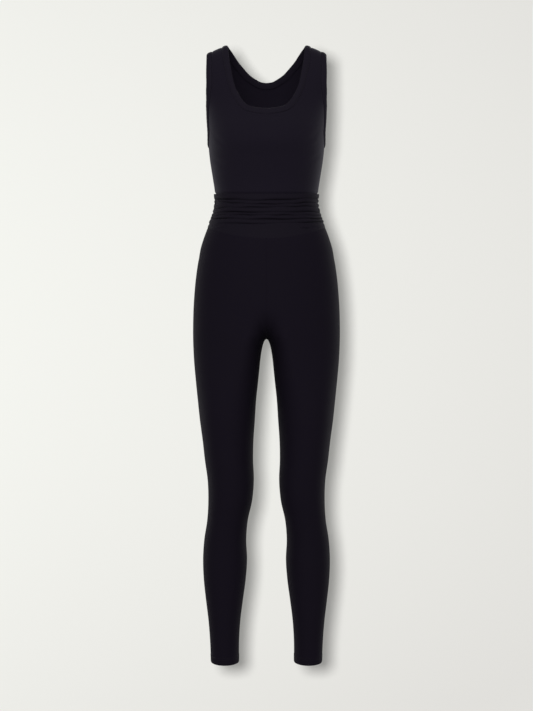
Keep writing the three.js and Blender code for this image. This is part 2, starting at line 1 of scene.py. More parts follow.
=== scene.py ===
# %% [markdown]
# # A sleeveless jumpsuit in black stretch jersey
# The garment is a tank bodice, a ruched waist panel and a pair of legging legs, and it stands in
# the round as it does when it is worn. Its pieces already exist as rigid solids in the frame. Here
# each one is made again as thin cloth on the same form, with the seams, bindings, gathers and
# stitches that the solids are too coarse to hold. All sizes are in metres, the front faces -Y, and
# +X is the wearer's left.

# %% Load the frame
import math

import bmesh
import bpy
import numpy as np
from mathutils import Matrix, Vector


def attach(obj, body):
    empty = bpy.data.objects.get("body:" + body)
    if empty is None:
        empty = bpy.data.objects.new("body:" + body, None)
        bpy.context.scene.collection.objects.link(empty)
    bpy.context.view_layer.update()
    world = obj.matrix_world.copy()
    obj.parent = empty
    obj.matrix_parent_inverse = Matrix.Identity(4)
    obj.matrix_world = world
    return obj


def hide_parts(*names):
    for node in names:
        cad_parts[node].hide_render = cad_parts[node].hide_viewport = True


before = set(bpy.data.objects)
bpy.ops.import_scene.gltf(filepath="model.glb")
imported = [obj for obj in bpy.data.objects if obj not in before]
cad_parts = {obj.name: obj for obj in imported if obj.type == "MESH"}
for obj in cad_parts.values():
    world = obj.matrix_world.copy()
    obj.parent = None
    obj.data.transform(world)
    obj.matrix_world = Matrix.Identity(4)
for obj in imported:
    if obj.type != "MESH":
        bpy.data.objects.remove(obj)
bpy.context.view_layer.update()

print("solids in the frame:", ", ".join(sorted(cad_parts)))

# %% [markdown]
# ## The camera
# A garment on a plain ground is photographed level, from far enough away that it isn't distorted.
# Three metres and a moderately long lens do that. The camera stands level with the crotch, halfway
# up the picture, so it looks a little up at the shoulders and a little down at the hems.

# %% Place the camera
CAMERA_DISTANCE = 3.0
CAMERA_HEIGHT = -0.687
LENS_MM = 67.2
SENSOR_MM = 36.0

camera_data = bpy.data.cameras.new("camera")
camera_data.sensor_width = SENSOR_MM
camera_data.lens = LENS_MM
camera_data.clip_end = 60.0
camera = bpy.data.objects.new("camera", camera_data)
camera.location = (0.0, -CAMERA_DISTANCE, CAMERA_HEIGHT)
camera.rotation_euler = (math.pi / 2, 0.0, 0.0)
bpy.context.scene.collection.objects.link(camera)
bpy.context.scene.camera = camera
print("camera", tuple(round(c, 3) for c in camera.location))

# %% [markdown]
# ## The driving sizes
# The garment was measured once, for the solids, and the cloth uses the same measures. A pattern
# cutter would write them down like this: a row for each height, with the half width and how far
# the front and the back stand from the side line.

# %% Measures of the garment
WAIST_Z = -0.322
WAIST_TILT = 0.11
LEG_SEAM_Z = -0.399
LEG_SEAM_DIP_FRONT = 0.032
LEG_SEAM_DIP_BACK = 0.008
CROTCH_Z = -0.650
HEM_Z = -1.378
HEM_DIP = 0.002
RIDGE_Y = 0.006
BINDING_WIDTH = 0.0135
SIDE_ANGLE = math.pi / 2


def measures(names, *rows):
    """A table whose columns are found by name."""
    return {name: np.array(values) for name, values in zip(names.split(), zip(*rows))}


TRUNK = measures(
    "z half front back side",
    (-0.650, 0.1662, 0.098, 0.108, 0.006),
    (-0.605, 0.1660, 0.099, 0.117, 0.006),
    (-0.560, 0.1641, 0.100, 0.121, 0.006),
    (-0.507, 0.1592, 0.101, 0.117, 0.005),
    (-0.453, 0.1504, 0.101, 0.102, 0.003),
    (-0.426, 0.1430, 0.099, 0.092, 0.002),
    (-0.399, 0.1330, 0.095, 0.083, 0.001),
    (-0.372, 0.1218, 0.090, 0.076, 0.000),
    (-0.345, 0.1159, 0.087, 0.071, 0.000),
    (-0.318, 0.1167, 0.086, 0.070, 0.000),
    (-0.290, 0.1208, 0.090, 0.071, 0.000),
    (-0.250, 0.1272, 0.101, 0.076, 0.000),
    (-0.215, 0.1310, 0.112, 0.082, 0.000),
    (-0.182, 0.1338, 0.106, 0.088, 0.000),
    (-0.155, 0.1363, 0.093, 0.091, 0.000),
    (-0.132, 0.1385, 0.082, 0.091, 0.000),
    (-0.110, 0.1440, 0.074, 0.088, 0.001),
    (-0.090, 0.1550, 0.067, 0.084, 0.002),
    (-0.065, 0.1670, 0.058, 0.075, 0.003),
    (-0.040, 0.1720, 0.046, 0.061, 0.004),
    (-0.018, 0.1740, 0.031, 0.043, 0.005),
    (-0.005, 0.1750, 0.014, 0.026, 0.006),
    (0.000, 0.1750, -RIDGE_Y, RIDGE_Y, RIDGE_Y),
)
LEG = measures(
    "z half inner front back side",
    (-0.650, 0.1662, 0.0125, 0.098, 0.108, 0.006),
    (-0.697, 0.1641, 0.0142, 0.095, 0.096, 0.005),
    (-0.742, 0.1601, 0.0184, 0.091, 0.084, 0.004),
    (-0.788, 0.1553, 0.0233, 0.087, 0.075, 0.002),
    (-0.833, 0.1504, 0.0262, 0.083, 0.068, 0.000),
    (-0.878, 0.1442, 0.0293, 0.079, 0.062, -0.002),
    (-0.923, 0.1390, 0.0301, 0.075, 0.057, -0.004),
    (-0.968, 0.1327, 0.0284, 0.070, 0.053, -0.006),
    (-1.014, 0.1313, 0.0322, 0.064, 0.052, -0.005),
    (-1.059, 0.1340, 0.0421, 0.055, 0.058, 0.000),
    (-1.104, 0.1410, 0.0458, 0.049, 0.064, 0.006),
    (-1.149, 0.1438, 0.0439, 0.046, 0.067, 0.009),
    (-1.194, 0.1421, 0.0470, 0.043, 0.064, 0.009),
    (-1.240, 0.1371, 0.0532, 0.040, 0.057, 0.007),
    (-1.285, 0.1314, 0.0589, 0.038, 0.048, 0.004),
    (-1.330, 0.1277, 0.0618, 0.037, 0.042, 0.002),
    (-1.379, 0.1255, 0.0621, 0.037, 0.039, 0.001),
)
ARCH_HEIGHT = 0.060
VALLEY_HALF = 0.046
VALLEY_HEIGHT_FRONT = 0.068
VALLEY_HEIGHT_BACK = 0.100
ROUND_BELOW = 0.200
print(f"shoulder to hem {-HEM_Z:.3f} m, waist to crotch {WAIST_Z - CROTCH_Z:.3f} m")

# %% [markdown]
# ## Reading between the rows
# A curve through the rows of a table has to be as smooth as stretched cloth. A Catmull-Rom curve
# passes through every row and keeps its slope there. It is worked out for many points at once.

# %% Smooth columns
FINE_STEPS = 60  # steps a row when a table is read backwards


def column(table, name, place):
    """The value of a column at a place between rows."""
    values = table[name]
    last = len(values) - 1
    before, after = 2 * values[0] - values[1], 2 * values[-1] - values[-2]
    padded = np.concatenate(([before], values, [after]))
    place = np.asarray(place, float)
    row = np.clip(np.floor(place), 0, last - 1).astype(int)
    a, b, c, d = (padded[row + n] for n in range(4))
    u = place - row
    bend = 2 * a - 5 * b + 4 * c - d
    return b + 0.5 * u * (c - a + u * (bend + u * (3 * (b - c) + d - a)))


def place_of(table, name, value):
    """The place at which a column has a value."""
    last = len(table[name]) - 1
    fine = np.linspace(0, last, FINE_STEPS * last + 1)
    values = column(table, name, fine)
    if values[-1] < values[0]:
        fine, values = fine[::-1], values[::-1]
    return np.interp(value, values, fine)


def mix(a, b, share):
    return a + (b - a) * share


def smooth(share):
    share = np.clip(share, 0.0, 1.0)
    return share * share * (3 - 2 * share)


def part_of(table, keep):
    return {name: values[keep] for name, values in table.items()}


def joined(*tables):
    names = [name for name in tables[0] if all(name in table for table in tables)]
    return {name: np.concatenate([table[name] for table in tables]) for name in names}


UPPER = part_of(TRUNK, TRUNK["z"] >= -0.372)
LOWER = joined(part_of(LEG, slice(None, 0, -1)), part_of(TRUNK, TRUNK["z"] <= -0.290))
RIDGE = len(UPPER["z"]) - 1
DOWN = part_of(UPPER, slice(-2, None, -1))
SWEEP = joined({**UPPER, "depth": -UPPER["front"]}, {**DOWN, "depth": DOWN["back"]})
print("rows from waist over the shoulder to waist:", len(SWEEP["z"]))

# %% [markdown]
# ## The form of the bodice
# A tank is cut flat, but stretched over a trunk it follows one smooth form from the front of the
# waist over the shoulder to the back of the waist. A point on it is named by its place in that
# sweep and by an angle: 0 at the centre line and a quarter turn at the side seam. The shoulder
# line falls away from the neck, so a lift is added near the top.

# %% The bodice surface
SHOULDER_FROM_X = 0.060
SHOULDER_TO_X = 0.136
SHOULDER_HIGH = 0.016
SHOULDER_LOW = -0.007
SHOULDER_POWER = 2.2
SLOPE_FROM_Z = -0.120
SLOPE_TO_Z = -0.010


def shoulder_lift(x, z):
    along = np.clip((np.abs(x) - SHOULDER_FROM_X) / (SHOULDER_TO_X - SHOULDER_FROM_X), 0, 1.2)
    lift = SHOULDER_HIGH + (SHOULDER_LOW - SHOULDER_HIGH) * along**SHOULDER_POWER
    return lift * smooth((z - SLOPE_FROM_Z) / (SLOPE_TO_Z - SLOPE_FROM_Z))


def bodice_point(angle, place):
    z = column(SWEEP, "z", place)
    side = column(SWEEP, "side", place)
    x = column(SWEEP, "half", place) * np.sin(angle)
    y = side + (column(SWEEP, "depth", place) - side) * np.cos(angle)
    return np.stack([x, y, z + shoulder_lift(x, z)], axis=-1)


def sweep_place(z, back):
    place = place_of(UPPER, "z", np.minimum(z, 0.0))
    return 2 * RIDGE - place if back else place


def unit(vectors):
    return vectors / np.linalg.norm(vectors, axis=-1, keepdims=True)


def slopes(surface, u, v, step):
    """How the surface runs across and along, at each point."""
    across = (surface(u + step, v) - surface(u - step, v)) / (2 * step)
    along = (surface(u, v + step) - surface(u, v - step)) / (2 * step)
    return across, along


def normals(surface, u, v, step=0.01):
    return unit(np.cross(*slopes(surface, u, v, step)))


# %% [markdown]
# ## The edges of the neckline and the armholes
# The cut edges were read off the garment as a few points each. They are turned into places on the
# bodice surface, spaced evenly, and a seam line beside an edge is that edge moved across the cloth
# by the width of the binding.

# %% Neckline and armhole edges
NECK_FRONT = measures(
    "x z",
    (0.0000, -0.1438),
    (0.0190, -0.1422),
    (0.0340, -0.1383),
    (0.0430, -0.1340),
    (0.0520, -0.1248),
    (0.0606, -0.1105),
    (0.0692, -0.0920),
    (0.0743, -0.0730),
    (0.0784, -0.0530),
    (0.0829, -0.0265),
    (0.0876, 0.0135),
)
NECK_BACK = measures(
    "x z",
    (0.0000, -0.0558),
    (0.0130, -0.0540),
    (0.0240, -0.0488),
    (0.0339, -0.0429),
    (0.0414, -0.0372),
    (0.0534, -0.0250),
    (0.0640, -0.0137),
    (0.0728, -0.0020),
    (0.0807, 0.0077),
    (0.0876, 0.0135),
)
ARMHOLE = measures(
    "z front back",
    (-0.205, 90.0, 90.0),
    (-0.200, 85.5, 85.5),
    (-0.185, 81.5, 80.5),
    (-0.160, 80.5, 76.0),
    (-0.132, 78.0, 71.5),
    (-0.112, 71.0, 65.5),
    (-0.090, 61.0, 58.0),
    (-0.068, 54.5, 53.5),
    (-0.040, 52.0, 51.5),
    (-0.015, 51.0, 50.8),
    (0.000, 50.8, 50.8),
)
EDGE_STEPS = 400  # steps in which an edge is followed before it is spaced evenly
LIFT_ROUNDS = 12  # rounds in which the shoulder's lift is taken off a height


def neckline_edge(table, back):
    at = np.linspace(0, len(table["x"]) - 1, EDGE_STEPS + 1)
    x, z = column(table, "x", at), column(table, "z", at)
    plain = z
    for _ in range(LIFT_ROUNDS):
        plain = z - shoulder_lift(x, plain)
    place = sweep_place(plain, back)
    place[-1] = RIDGE
    return np.stack([np.arcsin(x / column(SWEEP, "half", place)), place])


def armhole_edge(name, back):
    at = np.linspace(0, len(ARMHOLE["z"]) - 1, EDGE_STEPS + 1)
    angle = np.radians(np.minimum(column(ARMHOLE, name, at), 90.0))
    place = sweep_place(column(ARMHOLE, "z", at), back)
    place[-1] = RIDGE
    return np.stack([angle, place])


def evenly(curve, count):
    """The curve again, in steps of even length on the cloth."""
    points = bodice_point(*curve)
    steps = np.linalg.norm(np.diff(points, axis=0), axis=1)
    length = np.concatenate(([0.0], np.cumsum(steps)))
    wanted = np.linspace(0, length[-1], count + 1)
    even = np.stack([np.interp(wanted, length, values) for values in curve])
    even[:, 0], even[:, -1] = curve[:, 0], curve[:, -1]
    return even


def moved(loop, distance):
    """A closed loop moved sideways over the bodice. Points on the centre line, the side line and
    the shoulder line stay on it."""
    angle, place = loop
    points = bodice_point(angle, place)
    tangent = unit(np.roll(points, -1, axis=0) - np.roll(points, 1, axis=0))
    across, along = slopes(bodice_point, angle, place, 0.01)
    way = unit(np.cross(tangent, unit(np.cross(across, along)))) * distance
    e, f, g = ((p * q).sum(-1) for p, q in ((across, across), (across, along), (along, along)))
    p, q = (across * way).sum(-1), (along * way).sum(-1)
    area = e * g - f * f
    on_line = (angle == 0.0) | (angle == SIDE_ANGLE)
    angle = np.where(on_line, angle, angle + (g * p - f * q) / area)
    place = np.where(place == RIDGE, place, place + (e * q - f * p) / area)
    return np.stack([angle, place])


NECK_STEPS_FRONT = 92
NECK_STEPS_BACK = 74
ARM_STEPS = 104
neck_half = np.concatenate(
    [
        evenly(neckline_edge(NECK_FRONT, False), NECK_STEPS_FRONT),
        evenly(neckline_edge(NECK_BACK, True), NECK_STEPS_BACK)[:, -2::-1],
    ],
    axis=1,
)
neck_loop = np.concatenate([neck_half, neck_half[:, -2:0:-1] * [[-1], [1]]], axis=1)
arm_loop = np.concatenate(
    [
        evenly(armhole_edge("front", False), ARM_STEPS),
        evenly(armhole_edge("back", True), ARM_STEPS)[:, -2:0:-1],
    ],
    axis=1,
)


def neck_line(distance):
    return moved(neck_loop, distance)


def arm_line(distance):
    return moved(arm_loop, -distance)


def length_of(points):
    return np.linalg.norm(np.diff(points, axis=0, append=points[:1]), axis=1).sum()


neck_length = length_of(bodice_point(*neck_loop))
arm_length = length_of(bodice_point(*arm_loop))
print(f"neckline {neck_length:.3f} m round, armhole {arm_length:.3f} m round")

# %% [markdown]
# ## A sheet of cloth
# Every panel starts as a flat grid of squares, as cloth starts as a flat length. The grid's points
# are then carried onto the form. A grid is the right start because jersey has rows and columns of
# its own, and the same grid gives the flat coordinates that the knit is drawn with. Seam edges
# get closer rows, so that they can roll in.

# %% Make a panel from a grid
CLOTH_THICKNESS = 0.0010
WELD = 2e-6  # points closer than this are one
ROLL_STEPS = np.array([0.0, 0.0005, 0.0010, 0.0016, 0.0024, 0.0036])


def spaced(length, count, fine_start=True, fine_end=True):
    """Shares from 0 to 1 for count steps over a length, finer towards a seam."""
    start = ROLL_STEPS / length if fine_start else ROLL_STEPS[:1]
    end = 1 - ROLL_STEPS[::-1] / length if fine_end else 1 - ROLL_STEPS[:1]
    middle = np.linspace(start[-1], end[0], count - len(start) - len(end) + 3)
    return np.concatenate([start, middle[1:-1], end])


def add_grid(shape, columns, rows, place_points):
    """Adds a grid whose points are placed by their column and row. place_points takes
    whole-number arrays and gives the points and their flat coordinates in metres."""
    verts = bmesh.ops.create_grid(shape, x_segments=columns, y_segments=rows, size=0.5)["verts"]
    corner = np.array([v.co.xy for v in verts]) + 0.5
    n = np.rint(corner[:, 0] * columns).astype(int)
    row = np.rint(corner[:, 1] * rows).astype(int)
    points, flat = place_points(n, row)
    layer = shape.loops.layers.uv.get("knit") or shape.loops.layers.uv.new("knit")
    for vert, point, place in zip(verts, points, flat):
        vert.co = point
        for loop in vert.link_loops:
            loop[layer].uv = place


def finished(shape, name, node, thickness=None, outward=None):
    """Turns a shape into a smooth piece that stands for a solid of the frame."""
    bmesh.ops.remove_doubles(shape, verts=shape.verts, dist=WELD)
    bmesh.ops.recalc_face_normals(shape, faces=shape.faces)
    if outward and sum(face.normal.dot(outward(face)) for face in shape.faces) < 0:
        bmesh.ops.reverse_faces(shape, faces=shape.faces)
    for face in shape.faces:
        face.smooth = True
    mesh = bpy.data.meshes.new(name)
    shape.to_mesh(mesh)
    shape.free()
    piece = bpy.data.objects.new(name, mesh)
    bpy.context.scene.collection.objects.link(piece)
    if thickness:
        wall = piece.modifiers.new("thickness", "SOLIDIFY")
        wall.thickness = thickness
        wall.offset = -1.0
        wall.use_even_offset = False
    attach(piece, "root")
    if node:
        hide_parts(node)
    print(f"{name}: {len(mesh.polygons)} faces")
    return piece


def outward_of_trunk(face):
    """Away from the middle of the trunk, for panels that are open sheets."""
    middle = face.calc_center_median()
    return Vector((middle.x, middle.y, 0.0))


# %% [markdown]
# ## Creases and rolled seams
# Stretched jersey has few folds, and each is soft: a shallow trough with a slight swell on both
# sides. Every crease is given in the flat coordinates of its panel, with its own length,
# slope, width and depth. Along a seam the cloth rolls inwards over about a millimetre.

# %% Creases and seam rolls
SWELL = 0.35  # the height of the swells beside a crease, as a share of its depth
SWELL_AWAY = 1.7  # how far a swell lies from the crease, in widths
SEAM_DEPTH = 0.0006
SEAM_SOFTNESS = 0.0011
CREASE_COLUMNS = "across up length slope width depth bow"


def creased(flat, creases):
    """The height that a table of creases gives at flat coordinates. The slope is in degrees, and
    bow lifts the ends of a crease over its middle."""
    height = np.zeros(len(flat))
    names = list(creases)
    for values in zip(*creases.values()):
        crease = dict(zip(names, values))
        slope = math.radians(crease["slope"])
        off = flat - [crease["across"], crease["up"]]
        along = off @ [math.cos(slope), math.sin(slope)]
        share = along / (crease["length"] / 2)
        away = off @ [-math.sin(slope), math.cos(slope)] - crease["bow"] * share**2
        fade = np.clip(1 - share**2, 0, 1) ** 2
        trough = np.exp(-((away / crease["width"]) ** 2))
        swell = sum(
            np.exp(-(((away / crease["width"]) + s * SWELL_AWAY) ** 2)) for s in (-1, 1)
        )
        height += crease["depth"] * fade * (SWELL * swell - trough)
    return height


def distance_to(points, line):
    """How far each point lies from a line of points."""
    near = np.full(len(points), np.inf)
    for start, end in zip(line[:-1], line[1:]):
        run = end - start
        share = np.clip(((points - start) @ run) / (run @ run), 0, 1)
        near = np.minimum(near, np.linalg.norm(points - start - share[:, None] * run, axis=1))
    return near


def rolled(distance, depth=SEAM_DEPTH, softness=SEAM_SOFTNESS):
    return -depth * np.exp(-((distance / softness) ** 2))


# %% [markdown]
# ## The front and the back of the bodice
# Each is one piece of rib jersey, cut on the fold at its centre. Half of it is laid between two
# lines: the centre line and then the neckline on one side, and the side seam and then the armhole
# on the other. Mirroring the half gives the whole panel with no seam in the middle. The cloth runs
# on for a little way under the bindings and under the waist panel's turned edge, as sewn cloth
# does.

# %% Lay out a bodice panel
UNDER_BINDING = 0.002
UNDER_WAIST = 0.005
WAIST_GROOVE_DEPTH = 0.0022  # the waist panel's elastic edge presses a groove into the bodice
WAIST_GROOVE_SOFTNESS = 0.0026
BINDING_GROOVE_DEPTH = 0.0008
BINDING_GROOVE_SOFTNESS = 0.0014
BINDING_FOOT = 0.0141  # the groove lies just outside the binding's foot
BODICE_COLUMNS = 64
BODICE_LEVEL_ROWS = 44  # rows from the waist to the level of the underarm
BODICE_ROWS = BODICE_LEVEL_ROWS + ARM_STEPS
BODICE_FLAT_HALF = 0.185  # half the width of the panel, laid flat at the bust
STRAIGHT_LENGTH = 0.06  # the centre line or side seam, for the spacing of its last rows
WAIST_ROUNDS = 8  # rounds in which the tilted waist line settles on the form


def waist_height(angle, place):
    side = column(SWEEP, "side", place)
    reach = side + (column(SWEEP, "depth", place) - side) * np.cos(angle)
    return WAIST_Z + WAIST_TILT * reach


def bodice_rails(back):
    neck_steps = NECK_STEPS_BACK if back else NECK_STEPS_FRONT
    neck_whole = neck_line(BINDING_WIDTH - UNDER_BINDING)[:, : neck_half.shape[1]]
    arm_whole = arm_line(BINDING_WIDTH - UNDER_BINDING)
    if back:
        neck = neck_whole[:, NECK_STEPS_FRONT:][:, ::-1].copy()
        underarm = arm_whole[:, :1] * [[1], [-1]] + [[0], [2 * RIDGE]]
        arm = np.concatenate([underarm, arm_whole[:, :ARM_STEPS - 1:-1]], axis=1)
    else:
        neck = neck_whole[:, : NECK_STEPS_FRONT + 1].copy()
        arm = arm_whole[:, : ARM_STEPS + 1].copy()
    level = arm[1, 0]

    def waist_place(angle):
        place = np.full(np.shape(angle), sweep_place(WAIST_Z, back))
        for _ in range(WAIST_ROUNDS):
            place = sweep_place(waist_height(angle, place) - UNDER_WAIST, back)
        return place

    def straight(angle, start, end, count, fine_end=False):
        share = spaced(STRAIGHT_LENGTH, count, False, fine_end)[:-1]
        return np.stack([np.full(len(share), angle), mix(start, end, share)])

    to_neck = BODICE_ROWS - BODICE_LEVEL_ROWS - neck_steps
    rows = [
        straight(0.0, waist_place(0.0), level, BODICE_LEVEL_ROWS),
        straight(0.0, level, neck[1, 0], to_neck) if to_neck > 0 else neck[:, :0],
        neck,
    ]
    inner = np.concatenate(rows, axis=1)
    side = straight(SIDE_ANGLE, waist_place(SIDE_ANGLE), level, BODICE_LEVEL_ROWS)
    return inner, np.concatenate([side, arm], axis=1), waist_place


def bodice_panel(back, creases, name):
    inner, outer, waist_place = bodice_rails(back)
    rows = inner.shape[1] - 1
    across = spaced(BODICE_FLAT_HALF, BODICE_COLUMNS, fine_start=False)
    tilt = waist_place(SIDE_ANGLE * across) - mix(inner[1, 0], outer[1, 0], across)
    side_seam = bodice_point(*outer[:, : BODICE_LEVEL_ROWS + 1])
    shoulder_angles = mix(inner[0, -1], outer[0, -1], across)
    shoulder_seam = bodice_point(shoulder_angles, np.full(len(across), RIDGE))
    half_arm = slice(ARM_STEPS, None) if back else slice(0, ARM_STEPS + 1)
    whole_neck = neck_half.shape[1]
    half_neck = slice(NECK_STEPS_FRONT, whole_neck) if back else slice(0, NECK_STEPS_FRONT + 1)
    feet = [
        bodice_point(*neck_line(BINDING_FOOT)[:, half_neck]),
        bodice_point(*arm_line(BINDING_FOOT)[:, half_arm]),
    ]
    shape = bmesh.new()
    for side in (1, -1):

        def place_points(n, row):
            angle, place = mix(inner[:, row], outer[:, row], across[n])
            place = place + tilt[n] * (1 - row / rows)
            points = bodice_point(angle, place)
            flat = np.stack([side * angle * BODICE_FLAT_HALF / SIDE_ANGLE, points[:, 2]], axis=-1)
            height = creased(flat, creases)
            for seam in (side_seam, shoulder_seam):
                height += rolled(distance_to(points, seam))
            above_waist = points[:, 2] - waist_height(angle, place)
            height += rolled(above_waist, WAIST_GROOVE_DEPTH, WAIST_GROOVE_SOFTNESS)
            for foot in feet:
                away = distance_to(points, foot)
                height += rolled(away, BINDING_GROOVE_DEPTH, BINDING_GROOVE_SOFTNESS)
            points = points + normals(bodice_point, angle, place) * height[:, None]
            return points * [side, 1, 1], flat

        add_grid(shape, BODICE_COLUMNS, rows, place_points)
    return finished(
        shape, name + "_cloth", name, CLOTH_THICKNESS, outward_of_trunk
    )


FRONT_CREASES = measures(
    CREASE_COLUMNS,
    (0.004, -0.1640, 0.085, 1.0, 0.0022, 0.0007, 0.002),
    (0.104, -0.2060, 0.070, 34.0, 0.0060, 0.0007, 0.003),
    (-0.108, -0.2120, 0.060, -30.0, 0.0055, 0.0006, 0.002),
    (0.120, -0.2480, 0.055, 18.0, 0.0050, 0.0006, 0.001),
    (-0.122, -0.2560, 0.064, -14.0, 0.0060, 0.0007, 0.002),
    (0.056, -0.3000, 0.060, 86.0, 0.0060, 0.0004, 0.002),
    (-0.068, -0.2960, 0.070, 94.0, 0.0070, 0.0004, 0.003),
)
BACK_CREASES = measures(
    CREASE_COLUMNS,
    (0.080, -0.1900, 0.090, 42.0, 0.0060, 0.0008, 0.004),
    (-0.086, -0.1990, 0.080, -38.0, 0.0065, 0.0008, 0.003),
    (0.050, -0.2900, 0.110, 4.0, 0.0050, 0.0009, 0.004),
    (-0.040, -0.3020, 0.120, -3.0, 0.0055, 0.0010, 0.003),
    (-0.104, -0.2700, 0.070, -12.0, 0.0060, 0.0007, 0.002),
    (0.110, -0.2640, 0.060, 10.0, 0.0055, 0.0007, 0.002),
)
bodice_front = bodice_panel(False, FRONT_CREASES, "bodice_front")
bodice_back = bodice_panel(True, BACK_CREASES, "bodice_back")

# %% [markdown]
# ## The bindings
# A tank's neckline and armholes are bound: a strip of the same jersey is folded over the raw edge
# and stitched through. From outside it is a raised, softly rounded band, thirteen and a half
# millimetres wide, with a small step where it meets the panel. Its section is one closed outline,
# and a grid is wrapped round that outline and along the edge.

# %% Bind the neckline and the armholes
BINDING_SECTION = measures(
    "across height",
    (0.0133, -0.0009),
    (0.0137, -0.0005),
    (0.0134, 0.0001),
    (0.0123, 0.0008),
    (0.0108, 0.0014),
    (0.0088, 0.0018),
    (0.0064, 0.0020),
    (0.0040, 0.0018),
    (0.0018, 0.0011),
    (0.0005, 0.0003),
    (0.0000, -0.0004),
    (0.0005, -0.0012),
    (0.0020, -0.0019),
    (0.0080, -0.0023),
    (0.0135, -0.0023),
    (0.0158, -0.0017),
    (0.0158, -0.0012),
)
PUCKER_HEIGHT = 0.00012
PUCKER_STEP = 0.0093  # the stitching draws the binding in a little, this far apart


def binding(line_at, name, side=1):
    sides = len(BINDING_SECTION["across"])
    lines = np.array([line_at(across) for across in BINDING_SECTION["across"]])
    count = lines.shape[2]
    edge = bodice_point(*line_at(0.0))
    run = np.concatenate(([0.0], np.cumsum(np.linalg.norm(np.diff(edge, axis=0), axis=1))))
    run = np.append(run, run[-1] + np.linalg.norm(edge[0] - edge[-1]))
    girth = np.linspace(0.0, 2 * BINDING_WIDTH, sides + 1)

    def place_points(n, row):
        angle, place = lines[n % sides, :, row % count].T
        wave = np.sin(2 * math.pi * run[row % count] / PUCKER_STEP)
        height = BINDING_SECTION["height"][n % sides] + PUCKER_HEIGHT * wave
        out = normals(bodice_point, angle, place)
        points = bodice_point(angle, place) + out * height[:, None]
        return points * [side, 1, 1], np.stack([run[row], girth[n]], axis=-1)

    shape = bmesh.new()
    add_grid(shape, sides, count, place_points)
    return finished(shape, name + "_cloth", name)


neck_binding = binding(neck_line, "neck_binding")
armhole_binding_left = binding(arm_line, "armhole_binding_left")
armhole_binding_right = binding(arm_line, "armhole_binding_right", -1)

# %% [markdown]
# ## The ruched waist panel
# The waist panel is cut much taller than the space it fills and gathered into its two side seams,
# so it lies in uneven level folds. Its top edge is turned and stands out over the bodice as a
# narrow band, and its lower part runs smooth into the leg seam, which dips in front. Each fold line
# is a row of a table: its height at the wearer's right side, the centre and the left side, and how
# deep it is drawn in there. Between two lines the cloth puffs out.

# %% Waist panel measures
RUCHE_LIFT = 0.0026
TURNED_EDGE = 0.0030
TURNED_TOP = 0.0013
TURNED_ROUND = 0.0022  # the turned edge is round at the top over this height
TURNED_DROP = 6.0  # how late the turned band drops into the first fold line
PUFF = 0.72  # under 1 makes the folds full and their lines narrow
LAST_FOLD = 0.0011
LAST_FOLD_SHARE = 0.3
RUCHE_COLUMNS = "right centre left deep_right deep_centre deep_left waves phase"
RUCHES_FRONT = measures(
    RUCHE_COLUMNS,
    (-0.3359, -0.3461, -0.3335, 0.0040, 0.0034, 0.0030, 1.3, 0.2),
    (-0.3420, -0.3549, -0.3430, 0.0022, 0.0026, 0.0030, 2.1, 1.4),
    (-0.3569, -0.3615, -0.3528, 0.0032, 0.0022, 0.0030, 1.7, 2.9),
    (-0.3666, -0.3727, -0.3657, 0.0040, 0.0034, 0.0032, 1.2, 4.0),
    (-0.3735, -0.3790, -0.3745, 0.0012, 0.0024, 0.0014, 2.3, 5.2),
    (-0.3795, -0.3884, -0.3803, 0.0034, 0.0038, 0.0048, 1.4, 0.9),
    (-0.3910, -0.3979, -0.3873, 0.0036, 0.0028, 0.0046, 1.1, 3.3),
)
RUCHES_BACK = measures(
    RUCHE_COLUMNS,
    (-0.3340, -0.3280, -0.3330, 0.0030, 0.0038, 0.0036, 1.5, 1.1),
    (-0.3440, -0.3380, -0.3420, 0.0036, 0.0022, 0.0030, 1.8, 2.3),
    (-0.3540, -0.3490, -0.3530, 0.0028, 0.0034, 0.0038, 1.2, 0.4),
    (-0.3640, -0.3600, -0.3620, 0.0038, 0.0026, 0.0028, 2.2, 3.6),
    (-0.3740, -0.3710, -0.3730, 0.0034, 0.0034, 0.0042, 1.4, 5.0),
    (-0.3840, -0.3810, -0.3830, 0.0038, 0.0028, 0.0036, 1.7, 4.2),
)
WAVE_SHARE = 0.45  # how much a fold line's depth varies along it
LINE_WANDER = 0.0006
WANDER_TURNS = 1.7  # a fold line wanders this many times as often as its depth varies
WAIST_COLUMNS = 180
FOLD_ROWS = 16  # rows from one fold line to the next
TURNED_ROWS = 22
LAST_ROWS = 30
WAIST_FLAT_HALF = 0.175
SIDE_SEAM_DEPTH = 0.0018
SIDE_SEAM_SOFTNESS = 0.0020
LEG_SEAM_DEPTH = 0.00035
LEG_SEAM_SOFTNESS = 0.0016
WAIST_PLACE = place_of(LOWER, "z", WAIST_Z)


def trunk_point(angle, z):
    """A point of the trunk below the bodice, by its angle round the body from the centre front."""
    place = place_of(LOWER, "z", z)
    side = column(LOWER, "side", place)
    front, back = -column(LOWER, "front", place), column(LOWER, "back", place)
    reach = np.where(np.cos(angle) > 0, front, back)
    x = column(LOWER, "half", place) * np.sin(angle)
    return np.stack([x, side + (reach - side) * np.abs(np.cos(angle)), z], axis=-1)


def panel_top(angle):
    cosine = np.cos(angle)
    front, back = (column(LOWER, name, WAIST_PLACE) for name in ("front", "back"))
    return WAIST_Z - WAIST_TILT * np.where(cosine > 0, front, back) * cosine


def leg_seam(angle):
    cosine = np.cos(angle)
    dip = np.where(cosine > 0, LEG_SEAM_DIP_FRONT, LEG_SEAM_DIP_BACK)
    return LEG_SEAM_Z - dip * cosine**2


def across_panel(right, centre, left, place):
    """A value given at the two side seams and the centre, at each place across the panel."""
    aside = np.sin(SIDE_ANGLE * place)
    return centre + (left - right) / 2 * aside + ((left + right) / 2 - centre) * aside**2


